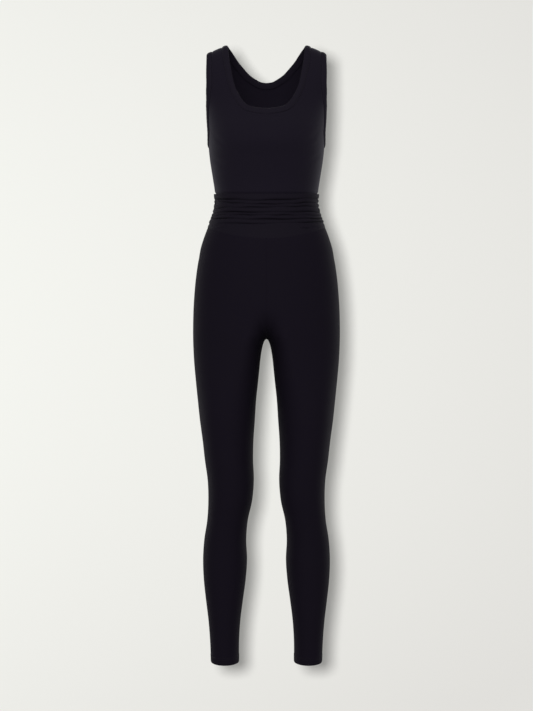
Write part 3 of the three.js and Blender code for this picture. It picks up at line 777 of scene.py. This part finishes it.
# %% Fold the waist panel
TRUNK_STEP = 0.002  # the step over which the trunk's slopes are measured
SETTLE = 0.014  # below the last fold line the cloth settles on the form over this height


def fold_lines(ruches, place):
    """The height of every fold line and how deep it is drawn in, at each place across."""
    lines, deeps = [], []
    for n in range(len(ruches["right"])):
        line, deep = (
            across_panel(*(ruches[name][n] for name in names), place)
            for names in (
                ("right", "centre", "left"),
                ("deep_right", "deep_centre", "deep_left"),
            )
        )
        turn = 2 * math.pi * ruches["waves"][n] * place + ruches["phase"][n]
        lines.append(line + LINE_WANDER * np.sin(WANDER_TURNS * turn))
        deeps.append(deep * (1 + WAVE_SHARE * np.sin(turn)))
    return np.array(lines), np.array(deeps)


def ruched(lines, deeps, top, low, row):
    """The height of each point on the garment, and how far the gathered cloth stands out there.
    Rows are counted from the top edge, and every fold line is a row of its own."""
    counts = np.array([TURNED_ROWS, *[FOLD_ROWS] * (len(lines) - 1), LAST_ROWS])
    starts = np.concatenate(([0], np.cumsum(counts)))
    fold = np.clip(np.searchsorted(starts, row, side="right") - 1, 0, len(lines))
    share = (1 - np.cos(math.pi * (row - starts[fold]) / counts[fold])) / 2
    levels = np.concatenate([[top], lines, [low]])
    floors = RUCHE_LIFT - np.concatenate([deeps[:1], deeps, deeps[-1:]])
    point = np.arange(len(row))
    z = mix(levels[fold, point], levels[fold + 1, point], share)
    floor = mix(floors[fold, point], floors[fold + 1, point], share)
    folded = mix(floor, RUCHE_LIFT, (4 * share * (1 - share)) ** PUFF)
    rise = np.clip((top - z) / TURNED_ROUND, 0, 1)
    turned = mix(TURNED_TOP, TURNED_EDGE, np.sqrt(1 - (1 - rise) ** 2))
    turned = mix(turned, floor, share**TURNED_DROP)
    settled = np.clip((lines[-1] - z) / SETTLE, 0, 1)
    rise = np.clip(settled / LAST_FOLD_SHARE, 0, 1)
    last = mix(floor, LAST_FOLD, np.sqrt(1 - (1 - rise) ** 2)) * (1 - smooth(settled))
    return z, np.select([fold == 0, fold == len(lines)], [turned, last], folded)


def waist_panel(ruches, back, creases, name):
    columns = spaced(2 * WAIST_FLAT_HALF, WAIST_COLUMNS) * 2 - 1
    rows = TURNED_ROWS + FOLD_ROWS * (len(ruches["right"]) - 1) + LAST_ROWS

    def place_points(n, row):
        place = columns[n]
        angle = math.pi - SIDE_ANGLE * place if back else SIDE_ANGLE * place
        low = leg_seam(angle)
        z, height = ruched(*fold_lines(ruches, place), panel_top(angle), low, row)
        points = trunk_point(angle, z)
        flat = np.stack([place * WAIST_FLAT_HALF, z], axis=-1)
        side_away = (1 - np.abs(place)) * WAIST_FLAT_HALF
        height += creased(flat, creases) + rolled(side_away, SIDE_SEAM_DEPTH, SIDE_SEAM_SOFTNESS)
        height += rolled(z - low, LEG_SEAM_DEPTH, LEG_SEAM_SOFTNESS)
        return points + normals(trunk_point, angle, z, TRUNK_STEP) * height[:, None], flat

    shape = bmesh.new()
    add_grid(shape, WAIST_COLUMNS, rows, place_points)
    return finished(
        shape, name + "_cloth", name, CLOTH_THICKNESS, outward_of_trunk
    )


FRONT_RUCHE_CREASES = measures(
    CREASE_COLUMNS,
    (-0.150, -0.3500, 0.034, 20.0, 0.0016, 0.0020, 0.001),
    (0.079, -0.4065, 0.036, 2.0, 0.0020, 0.0022, 0.001),
    (0.098, -0.4030, 0.060, 1.0, 0.0022, 0.0007, 0.001),
    (-0.105, -0.3990, 0.050, -2.0, 0.0018, 0.0008, 0.001),
    (-0.090, -0.4060, 0.060, 2.0, 0.0030, 0.0005, 0.001),
    (0.010, -0.3500, 0.060, 0.0, 0.0012, 0.0006, 0.000),
    (-0.040, -0.3670, 0.070, 1.0, 0.0012, 0.0006, 0.000),
    (0.070, -0.3600, 0.060, -1.0, 0.0012, 0.0007, 0.000),
    (0.075, -0.3730, 0.050, 0.0, 0.0012, 0.0008, 0.000),
    (-0.075, -0.3790, 0.060, 1.0, 0.0014, 0.0008, 0.000),
    (0.148, -0.3620, 0.026, -24.0, 0.0016, 0.0018, 0.001),
    (-0.152, -0.3760, 0.024, 24.0, 0.0016, 0.0018, 0.001),
)
BACK_RUCHE_CREASES = measures(
    CREASE_COLUMNS,
    (0.090, -0.3395, 0.060, 2.0, 0.0013, 0.0007, 0.000),
    (-0.060, -0.3560, 0.070, -1.0, 0.0013, 0.0008, 0.000),
    (0.020, -0.3655, 0.080, 1.0, 0.0013, 0.0006, 0.000),
    (-0.110, -0.3900, 0.060, 2.0, 0.0020, 0.0009, 0.001),
    (0.100, -0.3920, 0.070, -2.0, 0.0022, 0.0009, 0.001),
    (0.010, -0.3930, 0.080, 0.0, 0.0026, 0.0006, 0.001),
    (0.150, -0.3570, 0.026, -22.0, 0.0016, 0.0009, 0.001),
    (-0.150, -0.3480, 0.026, 22.0, 0.0016, 0.0009, 0.001),
)
waist_front = waist_panel(RUCHES_FRONT, False, FRONT_RUCHE_CREASES, "waist_panel_front")
waist_back = waist_panel(RUCHES_BACK, True, BACK_RUCHE_CREASES, "waist_panel_back")

# %% [markdown]
# ## The legs
# Each leg is one piece, joined to the other at the centre front and the centre back and closed by
# an inseam, with no seam at the outer side. A grid is wrapped round the leg once. Above the crotch
# its two edges are the centre seams, and below it they are welded into the inseam. The hem is
# turned up, so its last stretch is a little thicker.

# %% The leg surface
LEG_COLUMNS = 100
LEG_FLAT_RADIUS = 0.075
LEAST_X = 0.0  # the two legs meet in this plane
ABOVE_ROWS = 58
NEAR_CROTCH_ROWS = 18
NEAR_CROTCH = 0.062
LEG_ROWS = 118
HEM_HEIGHT = 0.018
HEM_ROWS = 26
HEM_PROUD = 0.0004
HEM_STEP = 0.0012
BELOW_HEM_ROWS = 0.004  # the closer rows start this far above the turned hem
LEG_TOP_LENGTH = 0.25  # from the crotch to the waist panel
LEG_GIRTH = 0.40
DIP_FROM = 0.65  # the hem's dip grows from this far below the crotch
DIP_OVER = 0.07
LEG_MIDDLE_X = 0.085
CORNER_HEIGHT = 0.010  # beside the crotch the cloth bridges the corner over this height
CORNER_REACH = 0.014
CORNER_TAPS = np.linspace(-1, 1, 9)


def inner_edge(z):
    """How far the leg's inner edge is from the middle plane: 0 above the crotch, then an arch."""
    below = np.maximum(CROTCH_Z - z, 0.0)
    arch = np.sqrt(1 - (1 - np.clip(below / ARCH_HEIGHT, 0, 1)) ** 2)
    return np.where(below > 0, column(LEG, "inner", place_of(LEG, "z", z)) * arch, 0.0)


def fullness(x, z, in_front):
    """How full the form is beside the inner edge, where it dips into the valley of the crotch."""
    rise = np.where(in_front, VALLEY_HEIGHT_FRONT, VALLEY_HEIGHT_BACK)
    risen = np.clip(np.maximum(z - CROTCH_Z, 0.0) / rise, 0, 1)
    valley = (1 - (1 - risen) ** 2) ** 2
    s = np.clip((x - inner_edge(z)) / VALLEY_HALF, 0, 1)
    return (valley + (1 - valley) * (2 * s - s * s) ** 2) ** 0.25


def leg_point(angle, z):
    """A point of the left leg: the angle runs from the centre front over the outer side."""
    place = place_of(LOWER, "z", z)
    inner, outer = inner_edge(z), column(LOWER, "half", place)
    side = column(LOWER, "side", place)
    in_front = np.sin(angle) >= 0
    reach = np.where(in_front, -column(LOWER, "front", place), column(LOWER, "back", place))
    x = (inner + outer) / 2 - (outer - inner) / 2 * np.cos(angle)
    bridge = CORNER_HEIGHT * smooth((x - inner) / CORNER_REACH)
    filled = np.mean([fullness(x, z + tap * bridge, in_front) for tap in CORNER_TAPS], axis=0)
    trunk_shape = np.sqrt(np.maximum(0.0, 1 - (x / outer) ** 2)) * filled
    share = smooth((CROTCH_Z - z) / ROUND_BELOW)
    y = side + (reach - side) * mix(trunk_shape, np.abs(np.sin(angle)), share)
    return np.stack([x, y, z + 0 * x], axis=-1)


SAFE_ANGLE = 0.02  # normals are taken this far from the seam, because the form turns there


def leg_normals(angle, z):
    safe = np.clip(angle, SAFE_ANGLE, 2 * math.pi - SAFE_ANGLE)
    across = (leg_point(safe + 0.01, z) - leg_point(safe - 0.01, z)) / 0.02
    along = (leg_point(safe, z + 0.001) - leg_point(safe, z - 0.001)) / 0.002
    return unit(np.cross(across, along))


def seam_height(angle):
    """The height of the leg's top edge, which is the waist panel's lower seam."""
    across = np.arcsin((1 - np.cos(angle)) / 2)
    return leg_seam(np.where(np.sin(angle) >= 0, across, math.pi - across))


# %% Lay out a leg
ABOVE = 1 - spaced(LEG_TOP_LENGTH, ABOVE_ROWS, fine_end=False)
HEM_ZONE = HEM_HEIGHT + BELOW_HEM_ROWS
BELOW = np.concatenate(
    [
        NEAR_CROTCH * np.linspace(0, 1, NEAR_CROTCH_ROWS + 1) ** 2,
        np.linspace(NEAR_CROTCH, CROTCH_Z - HEM_Z - HEM_ZONE, LEG_ROWS + 1)[1:],
        CROTCH_Z - HEM_Z - HEM_ZONE * (1 - spaced(HEM_ZONE, HEM_ROWS, False)[1:]),
    ]
)


def leg_height(angle, row):
    crotch = len(ABOVE) - 1
    above = mix(CROTCH_Z, seam_height(angle), ABOVE[np.minimum(row, crotch)])
    down = BELOW[np.maximum(row - crotch, 0)]
    below = CROTCH_Z - down - HEM_DIP * np.sin(angle) * smooth((down - DIP_FROM) / DIP_OVER)
    return np.where(row < crotch, above, below)


def leg(side, creases, name):
    angles = 2 * math.pi * spaced(LEG_GIRTH, LEG_COLUMNS)
    crotch = len(ABOVE) - 1
    rows = crotch + len(BELOW) - 1
    every_row = np.arange(rows + 1)
    seams = []
    for end in (0.0, 2 * math.pi):
        angle = np.full(rows + 1, end)
        seams.append(leg_point(angle, leg_height(angle, every_row)))

    def place_points(n, row):
        angle = angles[n]
        z = leg_height(angle, row)
        points = leg_point(angle, z)
        flat = np.stack([side * (angle - math.pi) * LEG_FLAT_RADIUS, z], axis=-1)
        away = np.minimum(*(distance_to(points, seam) for seam in seams))
        down = z - (HEM_Z - HEM_DIP * np.sin(angle))
        height = creased(flat, creases) + rolled(away)
        height += rolled(seam_height(angle) - z, LEG_SEAM_DEPTH, LEG_SEAM_SOFTNESS)
        height += HEM_PROUD * smooth((HEM_HEIGHT - down) / HEM_STEP) + rolled(down)
        points = points + leg_normals(angle, z) * height[:, None]
        points[:, 0] = np.maximum(points[:, 0], LEAST_X)
        ends = (n == 0) | (n == LEG_COLUMNS)
        inseam = ends & (row >= crotch)
        points[inseam, 1] = leg_point(angle, z)[inseam, 1]
        points[ends & (row <= crotch), 0] = LEAST_X
        return points * [side, 1, 1], flat

    shape = bmesh.new()
    add_grid(shape, LEG_COLUMNS, rows, place_points)

    def outward(face):
        middle = face.calc_center_median()
        return Vector((middle.x - side * LEG_MIDDLE_X, middle.y, 0.0))

    return finished(shape, name + "_cloth", name, CLOTH_THICKNESS, outward)


LEFT_CREASES = measures(
    CREASE_COLUMNS,
    (-0.195, -0.6250, 0.080, 52.0, 0.0060, 0.0007, 0.004),
    (-0.180, -0.6480, 0.090, 40.0, 0.0065, 0.0008, 0.005),
    (0.120, -0.6900, 0.110, -18.0, 0.0070, 0.0012, -0.006),
    (0.150, -0.7080, 0.090, -12.0, 0.0060, 0.0010, -0.005),
    (0.115, -0.9850, 0.100, 4.0, 0.0050, 0.0012, 0.004),
    (0.100, -1.0030, 0.120, -3.0, 0.0050, 0.0014, 0.003),
    (0.122, -1.0220, 0.100, -6.0, 0.0055, 0.0011, -0.003),
    (-0.090, -1.0480, 0.080, 3.0, 0.0060, 0.0005, -0.003),
    (0.110, -1.3180, 0.080, 3.0, 0.0040, 0.0009, 0.002),
    (0.090, -1.3360, 0.090, -3.0, 0.0040, 0.0008, 0.002),
    (0.000, -0.4600, 0.060, 62.0, 0.0060, 0.0005, 0.003),
)
RIGHT_CREASES = measures(
    CREASE_COLUMNS,
    (0.198, -0.6280, 0.076, -54.0, 0.0060, 0.0007, 0.004),
    (0.182, -0.6540, 0.086, -38.0, 0.0062, 0.0008, 0.005),
    (-0.125, -0.6860, 0.100, 20.0, 0.0070, 0.0012, -0.005),
    (-0.146, -0.7120, 0.096, 11.0, 0.0062, 0.0010, -0.004),
    (-0.112, -0.9800, 0.110, -3.0, 0.0050, 0.0013, 0.004),
    (-0.104, -0.9990, 0.110, 4.0, 0.0050, 0.0013, 0.003),
    (-0.118, -1.0260, 0.090, 7.0, 0.0055, 0.0010, -0.003),
    (0.092, -1.0420, 0.076, -3.0, 0.0060, 0.0005, -0.003),
    (-0.104, -1.3220, 0.086, -2.0, 0.0040, 0.0009, 0.002),
    (-0.094, -1.3390, 0.080, 3.0, 0.0040, 0.0008, 0.002),
    (0.004, -0.4660, 0.064, -60.0, 0.0060, 0.0005, 0.003),
)
leg_left = leg(1, LEFT_CREASES, "leg_left")
leg_right = leg(-1, RIGHT_CREASES, "leg_right")

# %% [markdown]
# ## Stitches
# The hems are sewn with two rows of short stitches and each binding with one, beside its foot. The
# other seams are closed from inside and show no thread. Each stitch is a grain of thread that
# sinks into the knit, so a small stretched ball of a few faces is enough. They are laid along
# lines on the finished surface, one ball for each stitch.

# %% Sew along a line
STITCH_LENGTH = 0.0021
STITCH_WIDTH = 0.00042
STITCH_HEIGHT = 0.00034
STITCH_PITCH = 0.0031
STITCH_LINE_STEPS = 240


def sewn(lines, name):
    """One piece of thread along closed lines. A line is its points and the cloth's outward
    directions there."""
    whole = bmesh.new()
    stitches = 0
    for line in lines:
        points, outward = (np.concatenate([v, v[:1]]) for v in line)
        steps = np.linalg.norm(np.diff(points, axis=0), axis=1)
        length = np.concatenate(([0.0], np.cumsum(steps)))
        count = int(length[-1] / STITCH_PITCH)
        at = (np.arange(count) + 0.5) * length[-1] / count

        def read(values, where):
            return np.stack([np.interp(where, length, v) for v in values.T], axis=-1)

        ahead = unit(read(points, at + STITCH_PITCH / 4) - read(points, at - STITCH_PITCH / 4))
        up = unit(read(outward, at))
        aside = unit(np.cross(up, ahead))
        up = np.cross(ahead, aside)
        row = bmesh.new()
        for middle, *axes in zip(read(points, at), ahead, aside, up):
            sizes = (STITCH_LENGTH, STITCH_WIDTH, STITCH_HEIGHT)
            turn = Matrix([axis * size for axis, size in zip(axes, sizes)]).transposed().to_4x4()
            turn.translation = middle
            bmesh.ops.create_uvsphere(row, u_segments=6, v_segments=4, radius=0.5, matrix=turn)
        part = bpy.data.meshes.new("row")
        row.to_mesh(part)
        row.free()
        whole.from_mesh(part)
        bpy.data.meshes.remove(part)
        stitches += count
    print(name, stitches, "stitches")
    return finished(whole, name, None)


def on_bodice(loop, height, side=1):
    out = normals(bodice_point, *loop)
    return (bodice_point(*loop) + out * height) * [side, 1, 1], out * [side, 1, 1]


def on_leg(angle, z, height, side):
    out = leg_normals(angle, z)
    return (leg_point(angle, z) + out * height) * [side, 1, 1], out * [side, 1, 1]


# %% Sew the bindings
BINDING_STITCH_ACROSS = 0.0126
BINDING_STITCH_HEIGHT = 0.00062
neck_stitches = sewn(
    [on_bodice(neck_line(BINDING_STITCH_ACROSS), BINDING_STITCH_HEIGHT)],
    "neck_stitches",
)
arm_stitches = [
    sewn(
        [on_bodice(arm_line(BINDING_STITCH_ACROSS), BINDING_STITCH_HEIGHT, side)],
        "armhole_stitches_" + name,
    )
    for side, name in ((1, "left"), (-1, "right"))
]

# %% Sew the legs
HEM_STITCH_UP = (0.0158, 0.0120)


def leg_stitches(side, name):
    lines = []
    around = np.linspace(0, 2 * math.pi, STITCH_LINE_STEPS, endpoint=False)
    for up in HEM_STITCH_UP:
        z = HEM_Z - HEM_DIP * np.sin(around) + up
        lines.append(on_leg(around, z, HEM_PROUD, side))
    return sewn(lines, "leg_stitches_" + name)


leg_sewing = [leg_stitches(1, "left"), leg_stitches(-1, "right")]

# %% [markdown]
# ## Writing a finish
# A finish is a small graph of nodes. Sums on paper are easier to read than a graph, so a class
# wraps a socket, and arithmetic on it adds the Math nodes. Every other node comes from one method.


# %% Sockets that do sums
class Wave:
    """A number that changes over the surface."""

    def __init__(self, finish, socket):
        self.finish = finish
        self.socket = socket

    def maths(self, operation, *values):
        made = self.finish.node(
            "ShaderNodeMath", {"operation": operation}, dict(enumerate(values))
        )
        return Wave(self.finish, made.outputs[0])

    def __add__(self, other):
        return self.maths("ADD", self, other)

    def __sub__(self, other):
        return self.maths("SUBTRACT", self, other)

    def __rsub__(self, other):
        return self.maths("SUBTRACT", other, self)

    def __mul__(self, other):
        return self.maths("MULTIPLY", self, other)

    def __pow__(self, other):
        return self.maths("POWER", self, other)

    __radd__ = __add__
    __rmul__ = __mul__

    def sine(self):
        return self.maths("SINE", self)

    def size(self):
        return self.maths("ABSOLUTE", self)


class Finish:
    """A material and the way to add nodes to it."""

    def __init__(self, name):
        self.material = bpy.data.materials.new(name)
        self.material.use_nodes = True
        self.tree = self.material.node_tree
        self.shader = self.tree.nodes["Principled BSDF"]

    def node(self, kind, settings=None, sockets=None):
        made = self.tree.nodes.new(kind)
        for name, value in (settings or {}).items():
            setattr(made, name, value)
        for name, value in (sockets or {}).items():
            self.feed(made.inputs[name], value)
        return made

    def feed(self, socket, value):
        if isinstance(value, Wave):
            value = value.socket
        if isinstance(value, bpy.types.NodeSocket):
            self.tree.links.new(value, socket)
        else:
            socket.default_value = value

    def knit_place(self):
        """The flat coordinates of the cloth, across and up, in metres."""
        found = self.node("ShaderNodeUVMap", {"uv_map": "knit"})
        parts = self.node("ShaderNodeSeparateXYZ", None, {"Vector": found.outputs["UV"]})
        return Wave(self, parts.outputs["X"]), Wave(self, parts.outputs["Y"])

    def noise(self, place, scale, detail=2.0, roughness=0.5):
        made = self.node(
            "ShaderNodeTexNoise",
            {"noise_dimensions": "3D"},
            {"Vector": place, "Scale": scale, "Detail": detail, "Roughness": roughness},
        )
        return Wave(self, made.outputs["Fac"])

    def bump(self, height):
        made = self.node(
            "ShaderNodeBump", None, {"Height": height, "Distance": 1.0, "Strength": 1.0}
        )
        self.feed(self.shader.inputs["Normal"], made.outputs["Normal"])

    def blend(self, share, first, second):
        made = self.node(
            "ShaderNodeMix",
            {"data_type": "RGBA"},
            {"Factor": share, "A": first, "B": second},
        )
        return made.outputs["Result"]


# %% [markdown]
# ## Black stretch jersey
# Jersey is a knit of fine columns. The bodice and its bindings are a rib, so their columns are
# wide enough to see up close; the legs and the waist panel are a finer, smoother knit. The yarn is
# dyed black and still scatters a little violet, it has hardly any gloss, and its short hairs catch
# light where the surface turns away, which is what sheen is for. The columns are a sine of the
# flat coordinate. The knit goes to the bump, a slow noise shifts colour and roughness, and a fine
# one puts in the fuzz.

# %% Knit the jersey
FUZZ_SCALE = 900.0
CLOUD_SCALE = 7.0
MOTTLE_SCALE = 160.0
FUZZ_HEIGHT = 0.00004
RIB_ROUNDNESS = 0.6
LOOP_SHARE = 0.7  # the height of a loop of the knit, in widths of a column


def jersey(name, dark, light, pitch, rib_height, loop_height, sheen, sheen_roughness, gloss):
    finish = Finish(name)
    across, up = finish.knit_place()
    place = finish.node("ShaderNodeTexCoord").outputs["Object"]
    rib = (across * (math.pi / pitch)).sine().size() ** RIB_ROUNDNESS
    loops = ((up * (2 * math.pi / (pitch * LOOP_SHARE))).sine() + 1) * 0.5
    cloud = finish.noise(place, CLOUD_SCALE)
    mottle = finish.noise(place, MOTTLE_SCALE, 3.0)
    fuzz = finish.noise(place, FUZZ_SCALE, 2.0)
    tone = rib * 0.35 + cloud * 0.30 + mottle * 0.35
    finish.feed(finish.shader.inputs["Base Color"], finish.blend(tone, dark, light))
    finish.feed(finish.shader.inputs["Roughness"], 0.74 + cloud * 0.10 + mottle * 0.10)
    finish.bump(rib * rib_height + loops * rib * loop_height + fuzz * FUZZ_HEIGHT)
    for socket, value in (
        ("Specular IOR Level", gloss),
        ("Sheen Weight", sheen),
        ("Sheen Roughness", sheen_roughness),
        ("Sheen Tint", SHEEN_TINT),
    ):
        finish.shader.inputs[socket].default_value = value
    return finish.material


SHEEN_TINT = (0.86, 0.84, 1.0, 1.0)
BODICE_DARK = (0.0048, 0.0033, 0.0078, 1.0)
BODICE_LIGHT = (0.0088, 0.0061, 0.0138, 1.0)
# The bindings are the same jersey as the bodice: their lighter colours are a painted highlight
# along the raised band.
BINDING_DARK_PAINTED_HIGHLIGHT = (0.0060, 0.0044, 0.0090, 1.0)
BINDING_LIGHT_PAINTED_HIGHLIGHT = (0.0110, 0.0082, 0.0160, 1.0)
LEG_DARK = (0.0041, 0.0026, 0.0064, 1.0)
LEG_LIGHT = (0.0075, 0.0052, 0.0115, 1.0)
bodice_finish = jersey(
    "bodice_jersey", BODICE_DARK, BODICE_LIGHT, 0.0024, 0.00010, 0.00003, 0.09, 0.45, 0.12
)
# The binding's finish carries that painted highlight: it is lighter than the bodice's jersey.
binding_painted_highlight_finish = jersey(
    "binding_jersey", BINDING_DARK_PAINTED_HIGHLIGHT, BINDING_LIGHT_PAINTED_HIGHLIGHT, 0.0016, 0.00006, 0.00003, 0.05, 0.35, 0.12
)
waist_finish = jersey(
    "waist_jersey", LEG_DARK, LEG_LIGHT, 0.0011, 0.00003, 0.00002, 0.02, 0.32, 0.14
)
leg_finish = jersey(
    "leg_jersey", LEG_DARK, LEG_LIGHT, 0.0011, 0.00003, 0.00002, 0.0, 0.32, 0.10
)
print("finishes:", bodice_finish.name, binding_painted_highlight_finish.name, waist_finish.name, leg_finish.name)

# %% [markdown]
# ## Thread
# The thread is a smooth filament of the same black, a touch brighter than the cloth. It has no
# flat coordinates, so its twist is a noise on the object's own coordinates.


# %% Spin the thread and dress the pieces
def thread(name):
    finish = Finish(name)
    place = finish.node("ShaderNodeTexCoord").outputs["Object"]
    twist = finish.noise(place, TWIST_SCALE, 1.0)
    finish.feed(finish.shader.inputs["Base Color"], finish.blend(twist, BODICE_DARK, THREAD_LIGHT))
    finish.feed(finish.shader.inputs["Roughness"], 0.45 + twist * 0.15)
    finish.bump(twist * TWIST_HEIGHT)
    finish.shader.inputs["Specular IOR Level"].default_value = THREAD_GLOSS
    return finish.material


THREAD_LIGHT = (0.018, 0.015, 0.020, 1.0)
THREAD_GLOSS = 0.25
TWIST_SCALE = 1400.0
TWIST_HEIGHT = 0.00005
thread_finish = thread("black_thread")
DRESSED = (
    (bodice_finish, (bodice_front, bodice_back)),
    (binding_painted_highlight_finish, (neck_binding, armhole_binding_left, armhole_binding_right)),
    (waist_finish, (waist_front, waist_back)),
    (leg_finish, (leg_left, leg_right)),
    (thread_finish, (neck_stitches, *arm_stitches, *leg_sewing)),
)
for finish, pieces in DRESSED:
    for piece in pieces:
        piece.data.materials.append(finish)

# %% [markdown]
# ## The ground
# The garment stands against a plain pale ground with no edge. One bowl serves every side: a spun
# profile with a flat floor that turns up into a round wall, centred on the garment, so every view
# sees the same plain surface behind it. It is left out of shadow and bounce rays, so that light
# from the sky reaches the cloth from all sides.

# %% Spin the ground
GROUND_RADIUS = 5.0
GROUND_CENTRE_Z = -0.687
FLOOR_SHARE = 0.86  # how far below the centre the flat floor lies, as a share of the radius
RIM_ANGLE = math.radians(42)
GROUND_STEPS = 40
GROUND_TURNS = 96
GROUND_WELD = 1e-5


def ground():
    shape = bmesh.new()
    low = -math.asin(FLOOR_SHARE)
    angles = np.linspace(low, RIM_ANGLE, GROUND_STEPS)
    profile = [shape.verts.new((0.0, 0.0, GROUND_CENTRE_Z - GROUND_RADIUS * FLOOR_SHARE))]
    for angle in angles:
        place = (
            GROUND_RADIUS * math.cos(angle),
            0.0,
            GROUND_CENTRE_Z + GROUND_RADIUS * math.sin(angle),
        )
        profile.append(shape.verts.new(place))
    edges = [shape.edges.new(pair) for pair in zip(profile[:-1], profile[1:])]
    bmesh.ops.spin(
        shape,
        geom=profile + edges,
        cent=(0, 0, 0),
        axis=(0, 0, 1),
        angle=2 * math.pi,
        steps=GROUND_TURNS,
        use_merge=True,
    )
    bmesh.ops.remove_doubles(shape, verts=shape.verts, dist=GROUND_WELD)
    bmesh.ops.recalc_face_normals(shape, faces=shape.faces)
    bmesh.ops.reverse_faces(shape, faces=shape.faces)
    for face in shape.faces:
        face.smooth = True
    mesh = bpy.data.meshes.new("ground")
    shape.to_mesh(mesh)
    shape.free()
    made = bpy.data.objects.new("ground", mesh)
    bpy.context.scene.collection.objects.link(made)
    return made


ground_piece = ground()
ground_piece.visible_diffuse = False
ground_piece.visible_glossy = False
ground_piece.visible_shadow = False
print("ground", len(ground_piece.data.polygons), "faces")

# %% [markdown]
# ## The ground's finish
# A plain pale wall: nearly white, dull, with a very slow random change of tone. Its colour is also
# darker to the right and towards the floor, which is painted shade from a light at the upper left.

# %% Paint the ground
GROUND_LIGHT = (0.93, 0.935, 0.89, 1.0)
# The dark end of the ground's colour is painted shade, not a second paint.
GROUND_PAINTED_SHADE = (0.775, 0.765, 0.735, 1.0)
VIEW_HALF = 2.1  # half the height of ground that the camera sees
painted = Finish("ground_painted_shade")
place = painted.node("ShaderNodeTexCoord").outputs["Object"]
parts = painted.node("ShaderNodeSeparateXYZ", None, {"Vector": place})
right = Wave(painted, parts.outputs["X"])
up = (Wave(painted, parts.outputs["Z"]) - CAMERA_HEIGHT) * (1 / VIEW_HALF)
# Painted shade: darker to the right and towards the floor. Only the noise is the wall's own tone.
shade = 0.33 + right * 0.23 + up * up * 0.3 - up * 0.12 + painted.noise(place, 0.6) * 0.06
painted.feed(
    painted.shader.inputs["Base Color"], painted.blend(shade, GROUND_LIGHT, GROUND_PAINTED_SHADE)
)
painted.shader.inputs["Roughness"].default_value = 0.9
painted.shader.inputs["Specular IOR Level"].default_value = 0.0
ground_piece.data.materials.append(painted.material)
print("ground painted")

# %% [markdown]
# ## Light
# Three things light the picture. A pale sky gives the even part. Large soft boxes in front, at the
# sides and behind light the cloth alone, and graze it, so its turned-away edges glow a little, as
# black jersey does. And a lamp close to the lens, a little to its left and above it, lights only
# the ground: it throws the narrow soft shadow that lies along the garment's right edge and under
# the hems.

# %% Sky and soft boxes
SKY_STRENGTH = 0.39
scene = bpy.context.scene
scene.view_settings.view_transform = "Standard"
world = bpy.data.worlds.new("sky")
world.use_nodes = True
world.node_tree.nodes["Background"].inputs["Color"].default_value = (1.0, 1.0, 1.0, 1.0)
world.node_tree.nodes["Background"].inputs["Strength"].default_value = SKY_STRENGTH
scene.world = world


def linked_to(name, *things):
    """A collection that a lamp is limited to."""
    chosen = bpy.data.collections.new(name)
    for thing in things:
        chosen.objects.link(thing)
    return chosen


cloth_only = linked_to("cloth", *(piece for _, pieces in DRESSED for piece in pieces))
ground_only = linked_to("ground", ground_piece)


def soft_box(name, place, size, watts):
    """A rectangular lamp that faces the middle of the garment."""
    data = bpy.data.lights.new(name, "AREA")
    data.shape = "RECTANGLE"
    data.size, data.size_y = size
    data.energy = watts
    lamp = bpy.data.objects.new(name, data)
    lamp.location = place
    aim = Vector((0.0, 0.0, CAMERA_HEIGHT)) - Vector(place)
    lamp.rotation_euler = aim.to_track_quat("-Z", "Y").to_euler()
    lamp.visible_camera = False
    lamp.light_linking.receiver_collection = cloth_only
    scene.collection.objects.link(lamp)
    return lamp


for name, place, size, watts in (
    ("left_box", (-2.2, 2.0, -0.4), (1.2, 2.6), 28.0),
    ("right_box", (2.2, 2.0, -0.4), (1.2, 2.6), 28.0),
    ("front_box", (-0.2, -3.2, 0.6), (2.8, 1.6), 60.0),
    ("back_box", (0.2, 3.2, 1.9), (2.8, 1.6), 60.0),
):
    soft_box(name, place, size, watts)

# %% The lamp beside the lens
LENS_LAMP_ASIDE = 0.037
LENS_LAMP_ABOVE = 0.023
LENS_LAMP_RADIUS = 0.032
LENS_LAMP_WATTS = 23.4
data = bpy.data.lights.new("lens_lamp", "POINT")
data.shadow_soft_size = LENS_LAMP_RADIUS
data.energy = LENS_LAMP_WATTS
data.use_nodes = True
falloff = data.node_tree.nodes.new("ShaderNodeLightFalloff")
falloff.inputs["Strength"].default_value = 1.0
emission = data.node_tree.nodes["Emission"]
data.node_tree.links.new(falloff.outputs["Constant"], emission.inputs["Strength"])
lens_lamp = bpy.data.objects.new("lens_lamp", data)
lens_lamp.location = (
    -LENS_LAMP_ASIDE,
    -CAMERA_DISTANCE,
    CAMERA_HEIGHT + LENS_LAMP_ABOVE,
)
lens_lamp.visible_camera = False
lens_lamp.light_linking.receiver_collection = ground_only
scene.collection.objects.link(lens_lamp)
print("lamps:", len(bpy.data.lights))

# %% [markdown]
# ## The cloth's cut
# Stretch jersey is cut a little smaller than the body, and the waist panel much taller than it
# lies.

# %% List the bindings and the stitches
([neck_binding, armhole_binding_left, armhole_binding_right, neck_stitches]
    + arm_stitches)
